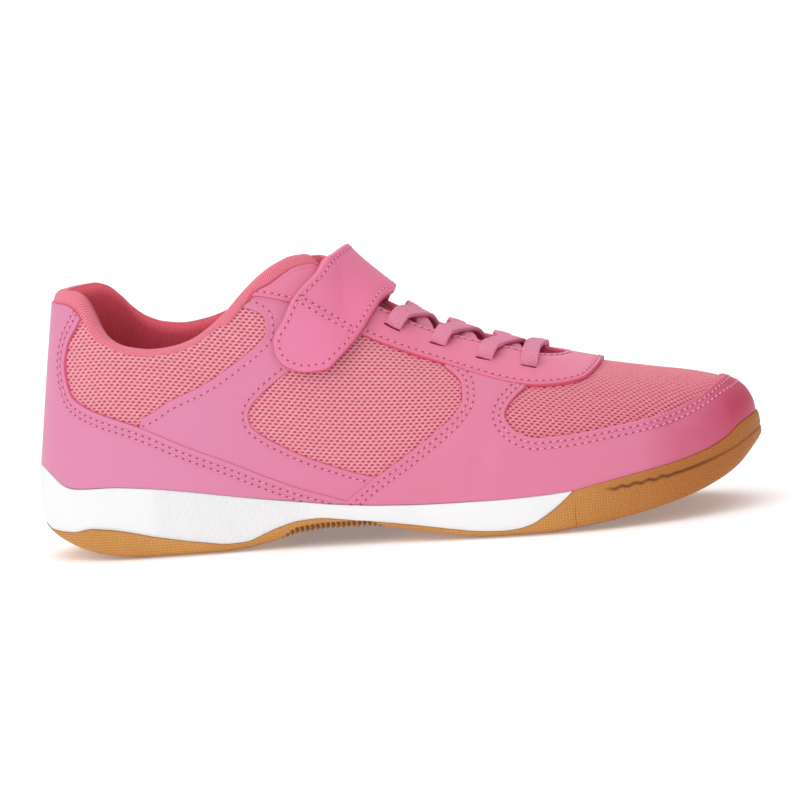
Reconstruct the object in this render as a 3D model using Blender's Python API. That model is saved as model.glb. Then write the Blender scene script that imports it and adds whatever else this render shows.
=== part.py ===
"""Indoor court shoe for a child's right foot.

Sizes are in millimetres, x from the heel towards the toe, y negative on the outer side of
the foot, z up from the floor. They turn into metres about the middle of the sole when a mesh is made.
"""
import math

import bmesh
import bpy
import numpy as np

for item in list(bpy.data.objects):
    bpy.data.objects.remove(item, do_unlink=True)

MM = 0.001
OUTER, INNER = -1, 1
SIDES = (OUTER, INNER)
GAP = 0.3

WALL = 2.1
COLLAR_PAD = 3.8
COLLAR_PAD_DEPTH = 24.0
FEATHER_INSET = 2.3
CUP_INSET = 2.0
INSOLE_THICKNESS = 3.4
TONGUE_THICKNESS = 3.0
THROAT_FRONT = 167.0
THROAT_ROUND = 9.0

# Plan of the sole: x, y, round from the heel along the outer side to the toe and back.
SOLE_PLAN = (
    (0.0, 0.0), (7.0, -16.5), (24.0, -27.5), (48.0, -30.2), (78.0, -29.8), (106.0, -32.0),
    (130.0, -37.0), (152.0, -40.3), (174.0, -39.6), (194.0, -34.0), (210.0, -24.0), (220.5, -11.0),
    (225.0, 5.0),
    (221.5, 19.0), (212.0, 30.0), (197.0, 37.5), (178.0, 40.6), (158.0, 38.8), (136.0, 33.0),
    (112.0, 28.0), (86.0, 27.0), (60.0, 29.0), (40.0, 30.0), (22.0, 26.8), (7.0, 16.5))
TOE_POINT = 12

# Side lines of the sole: x, height.
BOTTOM_LINE = (
    (0.0, 9.5), (4.0, 6.9), (9.0, 4.7), (14.0, 2.9), (20.0, 1.4), (26.0, 0.5), (32.0, 0.0), (60.0, 0.0),
    (68.0, 0.6), (75.0, 1.9), (86.0, 4.1), (94.0, 4.7), (103.0, 4.7), (112.0, 4.0), (120.0, 2.7),
    (128.0, 1.5), (135.0, 0.5), (141.0, 0.0), (161.0, 0.0), (172.0, 0.9), (186.0, 2.5), (200.0, 5.0),
    (208.0, 7.0), (215.0, 9.5), (220.0, 12.2), (225.0, 17.0))
SPLIT_LINE = (
    (-2.0, 12.0), (1.5, 11.2), (6.0, 9.3), (13.0, 9.0), (20.0, 10.1), (26.0, 9.7), (42.0, 6.4), (54.0, 4.2),
    (63.0, 3.0), (68.0, 3.2), (74.0, 5.3), (79.0, 7.1), (85.0, 8.5), (91.0, 8.9), (98.0, 8.2), (110.0, 6.6),
    (123.0, 5.0), (133.0, 3.5), (140.0, 2.6), (148.0, 2.2), (153.0, 2.6), (157.0, 3.6), (161.5, 5.9),
    (165.5, 8.6), (171.0, 13.4), (173.0, 15.6))
FEATHER_LINE = (
    (0.0, 29.0), (2.5, 28.4), (5.5, 26.6), (8.5, 24.3), (11.5, 22.8), (15.0, 22.3), (27.0, 22.6), (36.0, 22.0),
    (49.0, 20.3), (61.0, 18.2), (73.0, 16.1), (86.0, 14.2), (98.0, 12.6), (110.0, 11.7), (123.0, 11.4),
    (148.0, 11.7), (160.0, 12.1), (171.0, 12.9), (178.0, 14.2), (190.0, 16.2), (202.0, 18.1), (211.0, 20.3),
    (217.0, 22.9), (221.0, 25.8), (225.0, 27.6))
FOOTBED_LINE = (
    (0.0, 16.6), (30.0, 16.2), (60.0, 13.4), (88.0, 9.9), (110.0, 7.9), (140.0, 6.9), (160.0, 7.1),
    (175.0, 8.5), (190.0, 10.8), (205.0, 13.8), (217.0, 16.4), (225.0, 18.0))

# Side lines of the upper: x, height of the top of the collar on each side, and of the instep ridge.
OUTER_RIM = (
    (10.0, 82.3), (16.0, 82.3), (20.0, 80.8), (23.0, 76.6), (26.0, 71.4), (30.0, 67.2), (36.0, 64.6),
    (44.0, 63.5), (50.0, 63.9), (56.0, 65.4), (62.0, 68.7), (68.0, 73.4), (74.0, 79.2), (80.0, 84.2),
    (85.0, 87.0), (89.0, 88.3), (92.0, 88.4), (95.0, 87.4), (99.0, 84.2), (104.0, 79.0))
INNER_RIM = (
    (10.0, 82.3), (18.0, 82.3), (22.0, 81.0), (26.0, 77.4), (30.0, 72.8), (34.0, 69.6), (39.0, 67.4),
    (46.0, 66.4), (53.0, 67.2), (60.0, 69.2), (67.0, 72.6), (74.0, 77.0), (80.0, 80.8),
    (85.0, 83.4), (89.0, 84.8), (92.0, 85.0), (95.0, 84.4), (99.0, 82.2), (104.0, 78.0))
RIDGE_LINE = (
    (92.0, 97.0), (95.5, 91.5), (99.2, 86.5), (106.0, 78.8), (113.0, 71.9), (120.0, 67.0), (126.0, 63.6),
    (133.0, 60.6), (140.0, 58.2), (147.0, 55.7), (154.4, 53.1), (169.0, 48.7), (178.0, 46.4),
    (187.0, 44.5), (196.0, 42.8), (205.0, 41.3), (213.0, 40.0))
RIDGE_SIDE = ((90.0, 0.0), (120.0, 0.6), (160.0, 2.0), (200.0, 3.4))
THROAT_HALF = ((88.0, 15.5), (96.0, 14.5), (106.0, 12.6), (118.0, 10.8), (130.0, 9.8), (150.0, 9.0), (170.0, 9.0))

# Sections of the upper's wall by station, the share of the way along the sole's edge from heel to toe:
# where the section ends on the ankle or the ridge, how far and which way it sets off from the sole
# (rise, flare in degrees) and how far and how steeply it comes in at the top (reach, fall in degrees).
STATION, TOP_X, TOP_Y, TOP_Z, RISE, FLARE, REACH, FALL = range(8)
WALL_SECTIONS = (
    (0.000, 14.5, 0.0, 100.0, 25.0, -10.0, 25.0, 78.0),
    (0.060, 16.2, 7.4, 100.0, 25.0, -6.0, 26.0, 80.0),
    (0.120, 21.5, 14.8, 100.0, 24.0, 0.0, 28.0, 83.0),
    (0.180, 32.0, 21.2, 100.0, 22.0, 4.0, 30.0, 86.0),
    (0.250, 48.0, 24.5, 100.0, 22.0, 6.0, 30.0, 87.0),
    (0.320, 63.0, 23.0, 100.0, 25.0, 6.0, 29.0, 82.0),
    (0.380, 76.0, 18.0, 99.5, 29.0, 5.0, 25.0, 68.0),
    (0.420, 85.5, 10.5, 98.5, 32.0, 4.0, 21.0, 42.0),
    (0.450, 91.5, 3.5, 97.0, 33.0, 4.0, 19.0, 12.0),
    (0.465, 94.4, 0.0, 93.2, 33.0, 4.0, 18.0, 3.0),
    (0.480, 97.8, 0.0, 88.3, 33.0, 4.0, 18.0, 1.0),
    (0.510, 106.0, 0.0, 78.8, 32.0, 4.0, 18.0, 0.0),
    (0.550, 121.0, 0.0, 66.4, 28.0, 4.0, 19.0, 0.0),
    (0.590, 136.0, 0.0, 59.5, 24.0, 5.0, 21.0, 0.0),
    (0.636, 151.0, 0.0, 54.4, 20.0, 6.0, 23.0, 0.0),
    (0.700, 165.0, 0.0, 49.8, 17.0, 7.0, 24.0, 0.0),
    (0.760, 174.5, 0.0, 47.2, 15.0, 7.0, 24.0, 0.0),
    (0.820, 183.0, 0.0, 45.3, 13.5, 5.0, 23.5, 0.0),
    (0.880, 189.0, 0.0, 44.1, 12.0, 1.0, 23.0, 0.0),
    (0.940, 193.0, 0.0, 43.4, 10.5, -3.0, 21.0, 0.0),
    (1.000, 194.5, 0.0, 43.1, 10.0, -4.0, 19.0, 0.0))

# Stations where the meshes of the upper and the sole have a column.
COLUMNS = (
    0.0, 0.03, 0.06, 0.09, 0.12, 0.15, 0.185, 0.22, 0.255, 0.29, 0.325, 0.36, 0.39, 0.415, 0.435, 0.452,
    0.466, 0.48, 0.5, 0.525, 0.55, 0.58, 0.61, 0.64, 0.665, 0.684, 0.697, 0.7065, 0.7128, 0.74, 0.775, 0.81,
    0.845, 0.88, 0.915, 0.945, 0.972, 1.0)


def smooth_line(table, across=0, up=1):
    """A curve through a table's points that never swings past them."""
    xs = np.array([row[across] for row in table], float)
    ys = np.array([row[up] for row in table], float)
    step = np.diff(xs)
    grade = np.diff(ys) / step
    slope = np.concatenate((grade[:1], np.zeros(len(grade) - 1), grade[-1:]))
    for i in range(1, len(grade)):
        if grade[i - 1] * grade[i] > 0.0:
            near = 2.0 * step[i] + step[i - 1]
            far = step[i] + 2.0 * step[i - 1]
            slope[i] = (near + far) / (near / grade[i - 1] + far / grade[i])

    def at(x):
        x = np.clip(x, xs[0], xs[-1])
        i = np.clip(np.searchsorted(xs, x, side="right") - 1, 0, len(step) - 1)
        t = (x - xs[i]) / step[i]
        ends = ys[i] * (1.0 + 2.0 * t) * (1.0 - t) ** 2 + ys[i + 1] * t * t * (3.0 - 2.0 * t)
        return ends + step[i] * t * (1.0 - t) * (slope[i] * (1.0 - t) - slope[i + 1] * t)

    return at


bottom_line = smooth_line(BOTTOM_LINE)
split_line = smooth_line(SPLIT_LINE)
feather_line = smooth_line(FEATHER_LINE)
footbed_line = smooth_line(FOOTBED_LINE)
ridge_line = smooth_line(RIDGE_LINE)
ridge_side = smooth_line(RIDGE_SIDE)
throat_line = smooth_line(THROAT_HALF)
rim_line = {OUTER: smooth_line(OUTER_RIM), INNER: smooth_line(INNER_RIM)}
section = [smooth_line(WALL_SECTIONS, STATION, column) for column in range(8)]


def sole_sides(points, per_span=40):
    """The plan as a smooth closed curve, split into two sides that run from heel to toe."""
    knots = np.array(points, float)
    count = len(knots)
    t = (np.arange(per_span) / per_span)[:, None]
    spans = []
    for i in range(count):
        a, b, c, d = knots[i - 1], knots[i], knots[(i + 1) % count], knots[(i + 2) % count]
        bend = (2.0 * a - 5.0 * b + 4.0 * c - d) * t ** 2 + (3.0 * b - a - 3.0 * c + d) * t ** 3
        spans.append(0.5 * (2.0 * b + (c - a) * t + bend))
    ring = np.concatenate(spans)
    along = np.roll(ring, -1, axis=0) - np.roll(ring, 1, axis=0)
    outward = np.stack((along[:, 1], -along[:, 0]), axis=1)
    outward = outward / np.linalg.norm(outward, axis=1)[:, None]
    toe = TOE_POINT * per_span
    order = {OUTER: np.arange(toe + 1), INNER: np.arange(len(ring), toe - 1, -1) % len(ring)}
    sides = {}
    for side in SIDES:
        path = ring[order[side]]
        run = np.concatenate(([0.0], np.cumsum(np.linalg.norm(np.diff(path, axis=0), axis=1))))
        sides[side] = (run / run[-1], path, outward[order[side]])
    return sides


SOLE_SIDES = sole_sides(SOLE_PLAN)
PLAN_LOW = np.min([path.min(axis=0) for _, path, _ in SOLE_SIDES.values()], axis=0)
PLAN_HIGH = np.max([path.max(axis=0) for _, path, _ in SOLE_SIDES.values()], axis=0)
MIDDLE = np.array([*(PLAN_LOW + PLAN_HIGH) / 2.0, 0.0])


def outline(side, station):
    """Plan point and outward direction at a station of the sole's edge."""
    share, path, outward = SOLE_SIDES[side]
    point = np.stack([np.interp(station, share, path[:, k]) for k in (0, 1)], axis=-1)
    normal = np.stack([np.interp(station, share, outward[:, k]) for k in (0, 1)], axis=-1)
    return point, normal / np.linalg.norm(normal, axis=-1)[..., None]


def ridge_slope(x):
    """Rise of the instep ridge per millimetre towards the toe."""
    return (ridge_line(x + 1.0) - ridge_line(x - 1.0)) / 2.0


def section_controls(side, station):
    """The four control points of the curve that makes each section of the upper's wall."""
    plan, outward = outline(side, station)
    foot_plan = plan - FEATHER_INSET * outward
    foot = np.column_stack((foot_plan, feather_line(plan[:, 0])))
    top_x = section[TOP_X](station)
    top_y = ridge_side(top_x) + side * section[TOP_Y](station)
    top = np.column_stack((top_x, top_y, section[TOP_Z](station)))
    flare = np.radians(section[FLARE](station))
    rise = section[RISE](station)[:, None]
    lift = np.column_stack((outward * np.sin(flare)[:, None], np.cos(flare)))
    fall = np.radians(section[FALL](station))
    reach = section[REACH](station)[:, None]
    towards = foot_plan - top[:, :2]
    towards = towards / np.linalg.norm(towards, axis=1)[:, None]
    flat = np.cos(fall)
    drop = ridge_slope(top_x) * towards[:, 0] * flat - np.sin(fall)
    entry = np.column_stack((towards * flat[:, None], drop))
    return foot, foot + rise * lift, top + reach * entry, top


def eased(curve, spread):
    """A curve of control points with its sharp turns round the ankle's front smoothed out."""
    low, high = ANKLE_FRONT
    inside = np.clip(np.minimum(STATIONS - low, high - STATIONS) / ANKLE_FADE, 0.0, 1.0)
    width = np.maximum(spread * inside * inside * (3.0 - 2.0 * inside), 1e-5)[:, None]
    weight = np.exp(-0.5 * ((STATIONS[None, :] - STATIONS[:, None]) / width) ** 2)
    return weight @ curve / weight.sum(axis=1)[:, None]


def wall_controls(side):
    foot, lifted, shoulder, top = section_controls(side, STATIONS)
    crest = eased(top, TOP_EASE)
    crest[:, 1] = top[:, 1]
    return foot, lifted, eased(shoulder, SHOULDER_EASE), crest


STATIONS = np.linspace(0.0, 1.0, 2001)
ANKLE_FRONT, ANKLE_FADE = (0.36, 0.58), 0.05
SHOULDER_EASE, TOP_EASE = 0.02, 0.012
WALL_CONTROLS = {side: wall_controls(side) for side in SIDES}


def wall(side, station, share):
    """A point of the upper's outer face: share runs from the sole (0) to the ankle or ridge (1)."""
    station, share = np.broadcast_arrays(np.asarray(station, float), np.asarray(share, float))
    foot, lifted, shoulder, top = [
        np.stack([np.interp(station, STATIONS, curve[:, k]) for k in range(3)], axis=-1)
        for curve in WALL_CONTROLS[side]]
    t = share[..., None]
    low = foot * (1.0 - t) ** 3 + 3.0 * lifted * t * (1.0 - t) ** 2
    return low + 3.0 * shoulder * t * t * (1.0 - t) + top * t ** 3


def wall_normal(side, station, share):
    """Outward direction of the upper's face."""
    step = 0.0015
    low = np.clip(station - step, 0.0, 1.0)
    high = np.clip(station + step, 0.0, 1.0)
    along = wall(side, high, share) - wall(side, low, share)
    up = wall(side, station, np.clip(share + step, 0.0, 1.0)) - wall(side, station, np.clip(share - step, 0.0, 1.0))
    normal = -side * np.cross(along, up)
    return normal / np.linalg.norm(normal, axis=-1)[..., None]


def skin(side, station, share, offset):
    """A point at some height over the upper's outer face; both sides agree where they meet."""
    station, share = np.broadcast_arrays(np.asarray(station, float), np.asarray(share, float))
    normal = wall_normal(side, station, share)
    both = normal + wall_normal(-side, station, share)
    both = both / np.maximum(np.linalg.norm(both, axis=-1), 1e-9)[..., None]
    slope = ridge_slope(section[TOP_X](station))
    crest = np.stack((-slope, np.zeros_like(slope), np.ones_like(slope)), axis=-1)
    crest = crest / np.linalg.norm(crest, axis=-1)[..., None]
    ends = (station <= 0.0) | (station >= 1.0)
    normal = np.where(ends[..., None], both, normal)
    normal = np.where((share >= 1.0)[..., None], crest, normal)
    return wall(side, station, share) + normal * np.asarray(offset)[..., None]


def collar_pad(station):
    """How much the padding thickens the wall at the collar."""
    t = np.clip((0.425 - np.asarray(station, float)) / 0.1, 0.0, 1.0)
    return COLLAR_PAD * t * t * (3.0 - 2.0 * t)


def throat_half(x):
    """Half the width of the throat opening, rounded off at its front end."""
    start = THROAT_FRONT - THROAT_ROUND
    t = np.clip((x - start) / THROAT_ROUND, 0.0, 1.0)
    return throat_line(x) * np.sqrt(1.0 - t * t)


def edge_share(side, station):
    """The share at which the wall stops at the collar or the throat; 1 where it closes over the foot."""
    station = np.asarray(station, float)
    half_wall = (WALL + collar_pad(station)) / 2.0
    low = np.zeros_like(station)
    high = np.ones_like(station)
    for _ in range(40):
        mid = (low + high) / 2.0
        point = wall(side, station, mid)
        x, y, z = point[..., 0], point[..., 1], point[..., 2]
        past_rim = z >= rim_line[side](x) - half_wall
        past_throat = (station > 0.43) & (np.abs(y - ridge_side(x)) <= throat_half(x))
        past = past_rim | past_throat
        high = np.where(past, mid, high)
        low = np.where(past, low, mid)
    return np.where(high > 0.9995, 1.0, high)


SHARES = np.array((0.0, 0.09, 0.22, 0.36, 0.5, 0.64, 0.78, 0.9, 1.0))
ARC_STEPS = 4
SHOE = bpy.data.collections.new("indoor_court_shoe")
CUTTERS = bpy.data.collections.new("cutters")
for group in (SHOE, CUTTERS):
    bpy.context.scene.collection.children.link(group)


def material(name, colour, roughness):
    """A plain surface for one piece."""
    surface = bpy.data.materials.new(name)
    surface.use_nodes = True
    shader = surface.node_tree.nodes["Principled BSDF"]
    shader.inputs["Base Color"].default_value = (*colour, 1.0)
    shader.inputs["Roughness"].default_value = roughness
    return surface


def solid(name, points, faces, group, surface=None):
    """A closed mesh object from points in millimetres; points that meet are joined."""
    mesh = bpy.data.meshes.new(name)
    placed = (np.asarray(points, float) - MIDDLE) * MM
    mesh.from_pydata([tuple(p) for p in placed], [], faces)
    shape = bmesh.new()
    shape.from_mesh(mesh)
    bmesh.ops.remove_doubles(shape, verts=shape.verts, dist=0.00001)
    bmesh.ops.dissolve_degenerate(shape, edges=shape.edges, dist=0.00001)
    bmesh.ops.triangulate(shape, faces=shape.faces)
    bmesh.ops.recalc_face_normals(shape, faces=shape.faces)
    shape.to_mesh(mesh)
    shape.free()
    thing = bpy.data.objects.new(name, mesh)
    group.objects.link(thing)
    if surface:
        mesh.materials.append(surface)
    return thing


def cutter(name, points, faces):
    """A hidden solid used to cut another."""
    thing = solid(name, points, faces, CUTTERS)
    thing.hide_render = True
    thing.display_type = "WIRE"
    return thing


def prism(name, outline_xz, y_low, y_high):
    """A cutter with an outline in side view, run across the shoe."""
    count = len(outline_xz)
    points = [(x, y, z) for y in (y_low, y_high) for x, z in outline_xz]
    faces = [tuple(range(count)), tuple(range(count, 2 * count))]
    faces += [(i, (i + 1) % count, count + (i + 1) % count, count + i) for i in range(count)]
    return cutter(name, points, faces)


def box(name, low, high):
    """A cutter with square corners."""
    outline_xz = ((low[0], low[2]), (high[0], low[2]), (high[0], high[2]), (low[0], high[2]))
    return prism(name, outline_xz, low[1], high[1])


def cut(thing, tool, operation):
    """Keep what is inside the tool (INTERSECT) or outside it (DIFFERENCE)."""
    step = thing.modifiers.new(tool.name, "BOOLEAN")
    step.operation = operation
    step.solver = "EXACT"
    step.object = tool


def loops_to_solid(name, loops, skip, group, surface=None):
    """Join each side's loops, column by column; skip names the strips that are left open."""
    points = []
    faces = []
    for side in SIDES:
        columns = loops[side]
        start = len(points)
        size = len(columns[0])
        for loop in columns:
            points.extend(loop)
        for i in range(len(columns) - 1):
            for j in range(size):
                k = (j + 1) % size
                if not skip(side, i, j):
                    a = start + i * size
                    faces.append((a + j, a + k, a + size + k, a + size + j))
    return solid(name, points, faces, group, surface)


def strip_solid(name, rows, group, surface=None):
    """A solid from rows of rings (each a station list for both sides), closed by strips at both ends."""
    points = []
    faces = []
    height = len(rows)
    count = len(COLUMNS)
    for side in SIDES:
        for row in rows:
            points.extend(row[side])
    for s in range(2):
        start = s * height * count
        for r in range(height - 1):
            for i in range(count - 1):
                a = start + r * count + i
                faces.append((a, a + 1, a + count + 1, a + count))
    for r in (0, height - 1):
        for i in range(count - 1):
            a = r * count + i
            b = height * count + a
            faces.append((a, a + 1, b + 1, b))
    return solid(name, points, faces, group, surface)


def ring(inset, height):
    """Points round the sole at an inset from its edge; height is worked out from the edge's x."""
    stations = np.array(COLUMNS)
    points = {}
    for side in SIDES:
        plan, outward = outline(side, stations)
        placed = plan - inset * outward
        points[side] = np.column_stack((placed, height(plan[:, 0])))
    return points


def between(share, lift=0.0):
    """Height at a share of the way up the sole's side."""
    return lambda x: bottom_line(x) * (1.0 - share) + feather_line(x) * share + lift


SOLE_ROWS = (
    (6.0, bottom_line), (2.0, between(0.0, 0.9)), (0.6, between(0.0, 2.6)), (0.0, between(0.4)),
    (0.4, between(1.0, -1.4)), (0.9, between(1.0, -0.2)), (1.6, feather_line),
    (CUP_INSET, between(1.0, -0.5)), (CUP_INSET, footbed_line))


def sole_body(name, group, surface=None):
    """The whole sole with its cup for the upper, before it is split in two."""
    return strip_solid(name, [ring(inset, height) for inset, height in SOLE_ROWS], group, surface)


def below_split(name, shift_x, shift_z):
    """Everything under the line between the two layers of the sole."""
    line = [(x + shift_x, z + shift_z) for x, z in SPLIT_LINE]
    front = line[-1][0]
    corners = [(front, 80.0), (240.0, 80.0), (240.0, -20.0), (line[0][0] - 10.0, -20.0)]
    return prism(name, line + corners + [(line[0][0] - 10.0, line[0][1])], -70.0, 70.0)


RUBBER = material("gum_rubber", (0.58, 0.33, 0.12), 0.55)
FOAM = material("white_foam", (0.88, 0.88, 0.88), 0.6)
outsole = sole_body("outsole", SHOE, RUBBER)
cut(outsole, below_split("outsole_layer", 0.0, 0.0), "INTERSECT")
midsole = sole_body("midsole", SHOE, FOAM)
cut(midsole, below_split("under_midsole", -0.2, GAP), "DIFFERENCE")

# Flex grooves under the sole: x, half width across the shoe, depth.
FLEX_GROOVES = ((40.0, 22.0, 1.2), (52.0, 22.0, 1.2), (143.0, 26.0, 1.1), (157.0, 29.0, 1.1), (172.0, 30.0, 1.6))
FLEX_WIDTH = 2.2
for number, (x, half, depth) in enumerate(FLEX_GROOVES):
    top = float(bottom_line(x)) + depth
    low = (x - FLEX_WIDTH / 2.0, -half, -5.0)
    cut(outsole, box("flex_groove_%d" % number, low, (x + FLEX_WIDTH / 2.0, half, top)), "DIFFERENCE")

INSOLE_CLOTH = material("insole_cloth", (0.55, 0.12, 0.16), 0.9)
insole_inset = FEATHER_INSET + 0.1 + WALL + GAP + 0.1
strip_solid("insole", [
    ring(insole_inset, lambda x: footbed_line(x) + GAP),
    ring(insole_inset, lambda x: footbed_line(x) + GAP + INSOLE_THICKNESS)], SHOE, INSOLE_CLOTH)


def arc_over(first, last, lift):
    """Points of a half circle between two points, bulging along lift."""
    centre = (first + last) / 2.0
    radius = np.linalg.norm(first - last) / 2.0
    angles = [math.pi * (k + 1) / ARC_STEPS for k in range(ARC_STEPS - 1)]
    return [centre + (first - centre) * math.cos(a) + lift * radius * math.sin(a) for a in angles]


def edge_direction(side, station, share):
    """Which way the wall's edge faces: up the wall, or back into the throat at its front end."""
    if share >= 1.0:
        away = np.array((-1.0, 0.0, -float(ridge_slope(section[TOP_X](station)))))
    else:
        away = wall(side, station, share) - wall(side, station, share - 0.01)
    return away / np.linalg.norm(away)


def upper_loops():
    """Closed loops through the upper's wall: outside, over the rim, inside, and under the edge."""
    loops = {}
    for side in SIDES:
        loops[side] = []
        for station in COLUMNS:
            station = np.array(station)
            end = float(edge_share(side, station))
            shares = SHARES * end
            outside = skin(side, station, shares, np.zeros(len(shares)))
            depth = np.clip(1.0 - (outside[-1, 2] - outside[:, 2]) / COLLAR_PAD_DEPTH, 0.0, 1.0)
            thick = WALL + float(collar_pad(station)) * depth * depth * (3.0 - 2.0 * depth)
            inside = skin(side, station, shares, -thick)
            plan, outward = outline(side, station)
            floor = float(footbed_line(plan[0])) + GAP
            foot_out = np.append(plan - (FEATHER_INSET + 0.1) * outward, floor)
            foot_in = np.append(plan - (FEATHER_INSET + 0.1 + WALL) * outward, floor)
            over = arc_over(outside[-1], inside[-1], edge_direction(side, station, end))
            loops[side].append([foot_out, *outside, *over, *inside[::-1], foot_in])
    return loops


CLOSED = {side: [float(edge_share(side, np.array(c))) >= 1.0 for c in COLUMNS] for side in SIDES}
FIRST_OVER = len(SHARES)
LAST_OVER = FIRST_OVER + ARC_STEPS


def over_the_foot(side, i, j):
    """The rim's strips are left out where the wall closes over the foot."""
    return FIRST_OVER <= j < LAST_OVER and CLOSED[side][i] and CLOSED[side][i + 1]


UPPER_CLOTH = material("mesh_cloth", (0.80, 0.24, 0.28), 0.85)
loops_to_solid("upper", upper_loops(), over_the_foot, SHOE, UPPER_CLOTH)


def patch(name, low, high, columns, start_share, end_share, group, surface=None):
    """A slab between two heights over the upper's face, from a start to an end share of each section."""
    count = len(SHARES)
    loops = {}
    closed = {}
    for side in SIDES:
        loops[side] = []
        closed[side] = []
        for station in columns:
            station = np.array(station)
            start = float(start_share(side, station))
            end = float(end_share(side, station))
            shares = start + (end - start) * SHARES
            outside = skin(side, station, shares, np.full(count, high))
            inside = skin(side, station, shares, np.full(count, low))
            loops[side].append([*outside, *inside[::-1]])
            closed[side].append(end >= 1.0)

    def open_strip(side, i, j):
        return j == count - 1 and closed[side][i] and closed[side][i + 1]

    thing = loops_to_solid(name, loops, open_strip, group, surface)
    if columns[0] > 0.0:
        close_ends(thing)
    return thing


def close_ends(thing):
    """Fill the open ends of a slab that stops short of the heel or the toe."""
    shape = bmesh.new()
    shape.from_mesh(thing.data)
    bmesh.ops.holes_fill(shape, edges=[edge for edge in shape.edges if edge.is_boundary], sides=0)
    bmesh.ops.triangulate(shape, faces=shape.faces)
    bmesh.ops.recalc_face_normals(shape, faces=shape.faces)
    shape.to_mesh(thing.data)
    shape.free()


def over_share(side, station):
    """Where an overlay starts, just clear of the sole."""
    return 0.7 / (3.0 * float(section[RISE](station)))


def overlay_end(side, station):
    """Where an overlay stops, just short of the collar's binding or at the throat."""
    end = float(edge_share(side, station))
    return end if end >= 1.0 or station > 0.44 else end - 0.03


def share_at_half(side, station, half):
    """The share at which the wall is some distance from the middle of the instep."""
    low, high = 0.0, 1.0
    for _ in range(40):
        mid = (low + high) / 2.0
        x, y, _ = wall(side, station, np.array(mid))
        if abs(y - float(ridge_side(x))) <= half:
            high = mid
        else:
            low = mid
    return high


def closing(side, station):
    return 1.0


TONGUE_COLUMNS = [c for c in COLUMNS if 0.48 <= c <= 0.75]
TONGUE_OVERLAP = 4.5


def tongue_edge(side, station):
    """The tongue reaches a little under the edges of the throat."""
    return share_at_half(side, station, float(throat_line(section[TOP_X](station))) + TONGUE_OVERLAP)


TONGUE_CLOTH = material("tongue_cloth", (0.62, 0.16, 0.22), 0.9)
tongue_top = -(WALL + GAP + 0.1)
patch("tongue", tongue_top - TONGUE_THICKNESS, tongue_top, TONGUE_COLUMNS, tongue_edge, closing, SHOE, TONGUE_CLOTH)

# Edges of the overlays in side view: x, height.
COUNTER_EDGE = (
    (25.0, 79.0), (20.6, 71.9), (17.1, 66.6), (15.3, 59.5), (16.8, 51.4), (20.6, 48.0), (26.1, 45.4),
    (38.7, 40.6), (53.3, 33.4), (65.4, 28.0), (75.3, 23.2), (86.0, 18.6), (96.2, 15.1), (97.3, 14.7))
COLLAR_WINDOW = (
    (38.9, 43.4), (41.5, 44.3), (47.3, 47.6), (59.1, 52.2), (69.6, 58.2), (76.3, 62.9), (79.4, 66.6),
    (79.4, 70.2), (76.6, 73.0), (72.5, 74.4), (66.0, 77.0))
QUARTER_WINDOW = (
    (109.1, 20.6), (104.7, 21.8), (97.2, 24.5), (89.2, 27.8), (81.9, 31.7), (75.6, 35.8), (72.7, 39.0),
    (72.3, 41.7), (73.8, 44.8), (78.3, 48.9), (86.0, 54.2), (97.3, 60.0), (105.2, 63.5))
FOREPART_BACK = (
    (97.5, 12.0), (109.9, 20.3), (118.8, 25.6), (124.2, 29.1), (130.3, 33.1), (135.8, 37.6), (138.0, 41.4),
    (137.7, 45.4), (135.2, 48.6), (132.4, 50.8))
EYESTAY_EDGE = (
    (66.0, 81.5), (76.8, 77.8), (81.8, 76.4), (87.8, 74.2), (96.0, 70.0), (108.0, 62.4), (119.6, 56.6),
    (131.8, 51.7), (139.1, 48.8), (149.4, 45.1), (156.9, 43.2), (162.0, 42.5), (169.3, 42.4), (175.3, 43.1),
    (178.4, 44.8), (179.6, 47.2), (180.0, 54.0))
TOE_WINDOW = (
    (157.0, 42.6), (154.0, 40.3), (151.9, 37.9), (151.1, 35.7), (152.3, 33.2), (155.1, 30.7), (161.0, 28.8),
    (169.3, 28.9), (181.2, 29.9), (194.8, 31.4), (201.8, 32.9), (208.4, 35.2), (212.7, 37.8), (214.6, 41.0),
    (215.5, 60.0))
STRAP_EDGE = (
    (107.0, 93.8), (102.9, 89.8), (96.2, 83.6), (88.2, 75.6), (85.1, 69.7), (81.9, 64.2), (82.2, 60.0),
    (84.8, 56.0), (91.0, 53.6), (97.5, 53.8), (101.8, 57.0), (107.8, 63.0), (112.8, 70.0), (117.0, 74.8),
    (121.0, 79.4))
WIDE = 70.0


def shifted(edge, dx, dz):
    """The same edge moved a little, to keep neighbours apart."""
    return [(x + dx, z + dz) for x, z in edge]


def overlay(name, thickness, outline_xz, surface, y_low=-WIDE, y_high=WIDE):
    """A panel laid on the upper: a slab over its face, kept inside a side-view outline."""
    slab = patch(name, GAP, GAP + thickness, COLUMNS, over_share, overlay_end, SHOE, surface)
    cut(slab, prism(name + "_outline", outline_xz, y_low, y_high), "INTERSECT")
    return slab


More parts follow.
